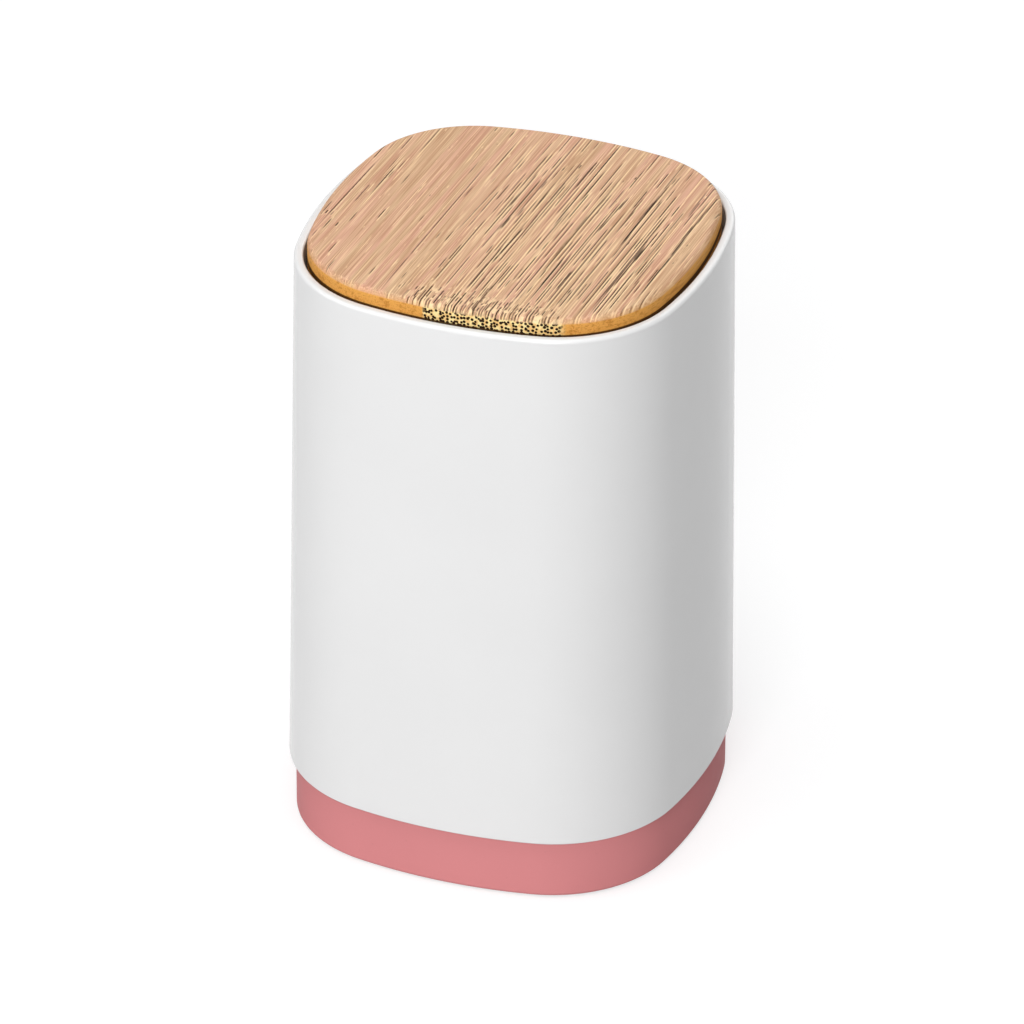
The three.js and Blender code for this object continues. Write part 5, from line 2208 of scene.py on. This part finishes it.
@dataclass(frozen=True)
class Carriage:
    """The carrier round the foot of the cup, with its hubs on the guide rods."""

    guides: Guides = Guides()
    damper: Damper = Damper()
    latch: Latch = Latch()
    outer: float = 22.3
    wall: float = 1.3
    floor: float = 1.5
    hub: float = 3.9
    hub_length: float = 11.0
    hub_top_drop: float = 1.0
    web: float = 3.0
    latch_pad_half: float = 4.0
    wire_pivot_drop: float = 8.2
    edge: float = 0.4
    steps: int = 144
    room_steps: int = 40

    def body(self) -> Piece:
        """Makes the carriage.

        Returns:
            The piece.
        """
        low, high = heights("lift_carriage")
        face = reach_of("lift_carriage")[1].x
        inner, floor = self.outer - self.wall, low + self.floor
        _, gear_y, gear_z = centre("damper_gear")
        ease, damper = self.edge, self.damper
        foot = arc(self.outer - ease, low + ease, ease, -90, 0, 5)
        body = turned("carriage", [(0, low), *foot, (self.outer, high), (0, high)], self.steps)
        up = (gear_z - damper.circle - damper.ear, high)
        deep = (inner + self.outer) / 2 - self.wall
        half = damper.radius + damper.ear / 2
        additions = [
            block((deep, face), (-self.latch_pad_half, self.latch_pad_half), up),
            block((-face, -deep), (gear_y - half, gear_y + half), up),
        ]
        hub_top = high - self.hub_top_drop
        hub_low = hub_top - self.hub_length
        bores = []
        for node in numbered("guide_rod", 2):
            x, y = middle(node)
            reach = math.hypot(x, y)
            web = block((0, reach), (-self.web / 2, self.web / 2), (hub_low, hub_top))
            web.data.transform(Matrix.Rotation(math.atan2(y, x), 4, "Z"))
            additions += [web, rod(self.hub, hub_low, hub_top, x, y)]
            bores.append(rod(self.guides.bush + GAP.seat, hub_low - GAP.over, hub_top + GAP.over, x, y))
        join(body, *additions)
        cut(body, *bores, rod(inner, floor, high + GAP.over, steps=self.steps))
        small = CUP_SCREW.pilot
        holes = CUP_SCREW.rooms(numbered("cup_screw", 2), low, steps=self.room_steps)
        left = (-face - GAP.over, -inner + GAP.over)
        right = (inner - GAP.over, face + GAP.over)
        holes += [
            cross_rod(small, *left, gear_y, gear_z - damper.circle),
            cross_rod(small, *left, gear_y, gear_z + damper.circle),
            cross_rod(self.latch.wire + GAP.fit, *right, 0.0, high - self.wire_pivot_drop),
            cross_rod(small, *right, 0.0, centre("leaf_screw")[2]),
        ]
        return cut(body, *holes)

    def build(self) -> None:
        """Makes the carriage and the screws that hold the cup on it."""
        hand_over("lift_carrier", self.body(), Body.LIFT, INNER, "lift_carriage")
        CUP_SCREW.set_of("cup_screws", numbered("cup_screw", 2), Facing.UP, Body.LIFT)


# Studio


@dataclass(frozen=True)
class Camera:
    """The photograph's viewpoint."""

    azimuth: float = 19.95
    elevation: float = 30.34
    roll: float = 0.39
    distance: float = 1.1575
    lens: float = 276.46
    target: Triple = (0.0, 0.0, 0.04676)
    shift: Pair = (-0.0016, 0.0001)
    film: float = 36.0
    clip: Pair = (0.05, 20.0)

    def build(self) -> None:
        """Makes the camera."""
        az, el, roll = (math.radians(v) for v in (self.azimuth, self.elevation, self.roll))
        back = Vector((math.sin(az) * math.cos(el), -math.cos(az) * math.cos(el), math.sin(el)))
        level = Vector((math.cos(az), math.sin(az), 0.0))
        upright = back.cross(level)
        right = level * math.cos(roll) + upright * math.sin(roll)
        up = upright * math.cos(roll) - level * math.sin(roll)
        data = bpy.data.cameras.new("photo_view")
        data.lens = self.lens
        data.sensor_width = self.film
        data.shift_x, data.shift_y = self.shift
        data.clip_start, data.clip_end = self.clip
        camera = bpy.data.objects.new("photo_view", data)
        turn = Matrix((right, up, back)).transposed().to_4x4()
        camera.matrix_world = Matrix.Translation(Vector(self.target) + back * self.distance) @ turn
        bpy.context.scene.collection.objects.link(camera)
        bpy.context.scene.camera = camera


@dataclass(frozen=True)
class SoftBox:
    """A square area lamp that shines at the object."""

    name: str
    azimuth: float
    elevation: float
    distance: float
    size: float
    level: float
    aim_height: float = 0.05

    def build(self) -> None:
        """Makes the lamp, at a power that lights a surface which faces it to its level."""
        az, el = math.radians(self.azimuth), math.radians(self.elevation)
        way = Vector((math.sin(az) * math.cos(el), -math.cos(az) * math.cos(el), math.sin(el)))
        data = bpy.data.lights.new(self.name, "AREA")
        data.shape = "SQUARE"
        data.size = self.size
        data.energy = self.level * math.pi**2 * self.distance**2
        lamp = bpy.data.objects.new(self.name, data)
        place = Matrix.Translation(Vector((0.0, 0.0, self.aim_height)) + way * self.distance)
        lamp.matrix_world = place @ way.to_track_quat("Z", "Y").to_matrix().to_4x4()
        bpy.context.scene.collection.objects.link(lamp)


@dataclass(frozen=True)
class Studio:
    """A plain pale floor, a white background and soft light."""

    floor_half: float = 6.0
    floor_colour: float = 0.43
    floor_coolness: float = 0.99
    floor_clouds_per_metre: float = 6.0
    floor_glow: float = 0.63
    sky: float = 0.1
    lamps: tuple[SoftBox, ...] = (
        SoftBox("left_softbox", -60.0, 28.0, 2.2, 1.6, 0.28),
        SoftBox("front_softbox", 13.0, 28.0, 2.2, 1.0, 0.695),
        SoftBox("top_softbox", 0.0, 80.0, 2.2, 1.6, 0.46),
        SoftBox("back_softbox", 172.0, 28.0, 2.2, 1.6, 0.3),
    )

    @staticmethod
    def seen(graph: Graph) -> Socket:
        """Tells whether a ray comes from the camera, a reflection or a clear material.

        Args:
            graph: The graph of the material or of the world.

        Returns:
            1 for such a ray and 0 for others.
        """
        path = graph.node("ShaderNodeLightPath").outputs
        glossy = graph.most(path["Is Camera Ray"], path["Is Glossy Ray"])
        return graph.most(glossy, path["Is Transmission Ray"])

    def floor(self) -> None:
        """Makes the floor, which looks white but keeps the object's shadow."""
        half = self.floor_half / MM
        corners = [(-half, -half, 0), (half, -half, 0), (half, half, 0), (-half, half, 0)]
        piece = mesh_piece("floor", corners, faces=[(0, 1, 2, 3)])
        material = bpy.data.materials.new("studio_floor")
        material.use_nodes = True
        graph = Graph(material.node_tree)
        graph.tree.nodes.clear()
        at = graph.node("ShaderNodeTexCoord").outputs["Object"]
        tone = graph.spread(graph.noise(at, self.floor_clouds_per_metre, 2.0))
        shade = self.floor_colour
        cool = shade * self.floor_coolness
        colour = graph.mix(tone, (cool, cool, shade, 1.0), (shade, shade, shade, 1.0))
        matt = graph.node("ShaderNodeBsdfDiffuse", colour).outputs[0]
        glow = graph.node("ShaderNodeEmission", WHITE_LIGHT, graph.times(self.seen(graph), self.floor_glow))
        both = graph.node("ShaderNodeAddShader", matt, glow.outputs[0])
        graph.node("ShaderNodeOutputMaterial", both.outputs[0])
        piece.data.materials.append(material)

    def world(self) -> None:
        """Makes the world: white to look at, and a soft even light."""
        world = bpy.data.worlds.new("studio")
        bpy.context.scene.world = world
        world.use_nodes = True
        graph = Graph(world.node_tree)
        graph.tree.nodes.clear()
        light = graph.node("ShaderNodeBackground", WHITE_LIGHT, self.sky)
        white = graph.node("ShaderNodeBackground", WHITE_LIGHT, 1.0)
        both = graph.node("ShaderNodeMixShader", self.seen(graph), light.outputs[0], white.outputs[0])
        graph.node("ShaderNodeOutputWorld", both.outputs[0])

    def build(self) -> None:
        """Makes the floor, the world and the lamps."""
        self.floor()
        self.world()
        for lamp in self.lamps:
            lamp.build()


def main() -> None:
    """Builds every sub-assembly in order, then the studio."""
    logging.basicConfig(level=logging.INFO, format="%(name)s: %(message)s")
    scene = bpy.context.scene
    scene.view_settings.view_transform = "Standard"
    plinth = Plinth()
    Sleeve().build(plinth.snaps())
    plinth.build()
    Guides().build()
    WellRing().build()
    Lid().build()
    Cup().build()
    Carriage().build()
    Damper().build()
    Latch().build()
    Studio().build()
    Camera().build()


if __name__ == "__main__":
    main()
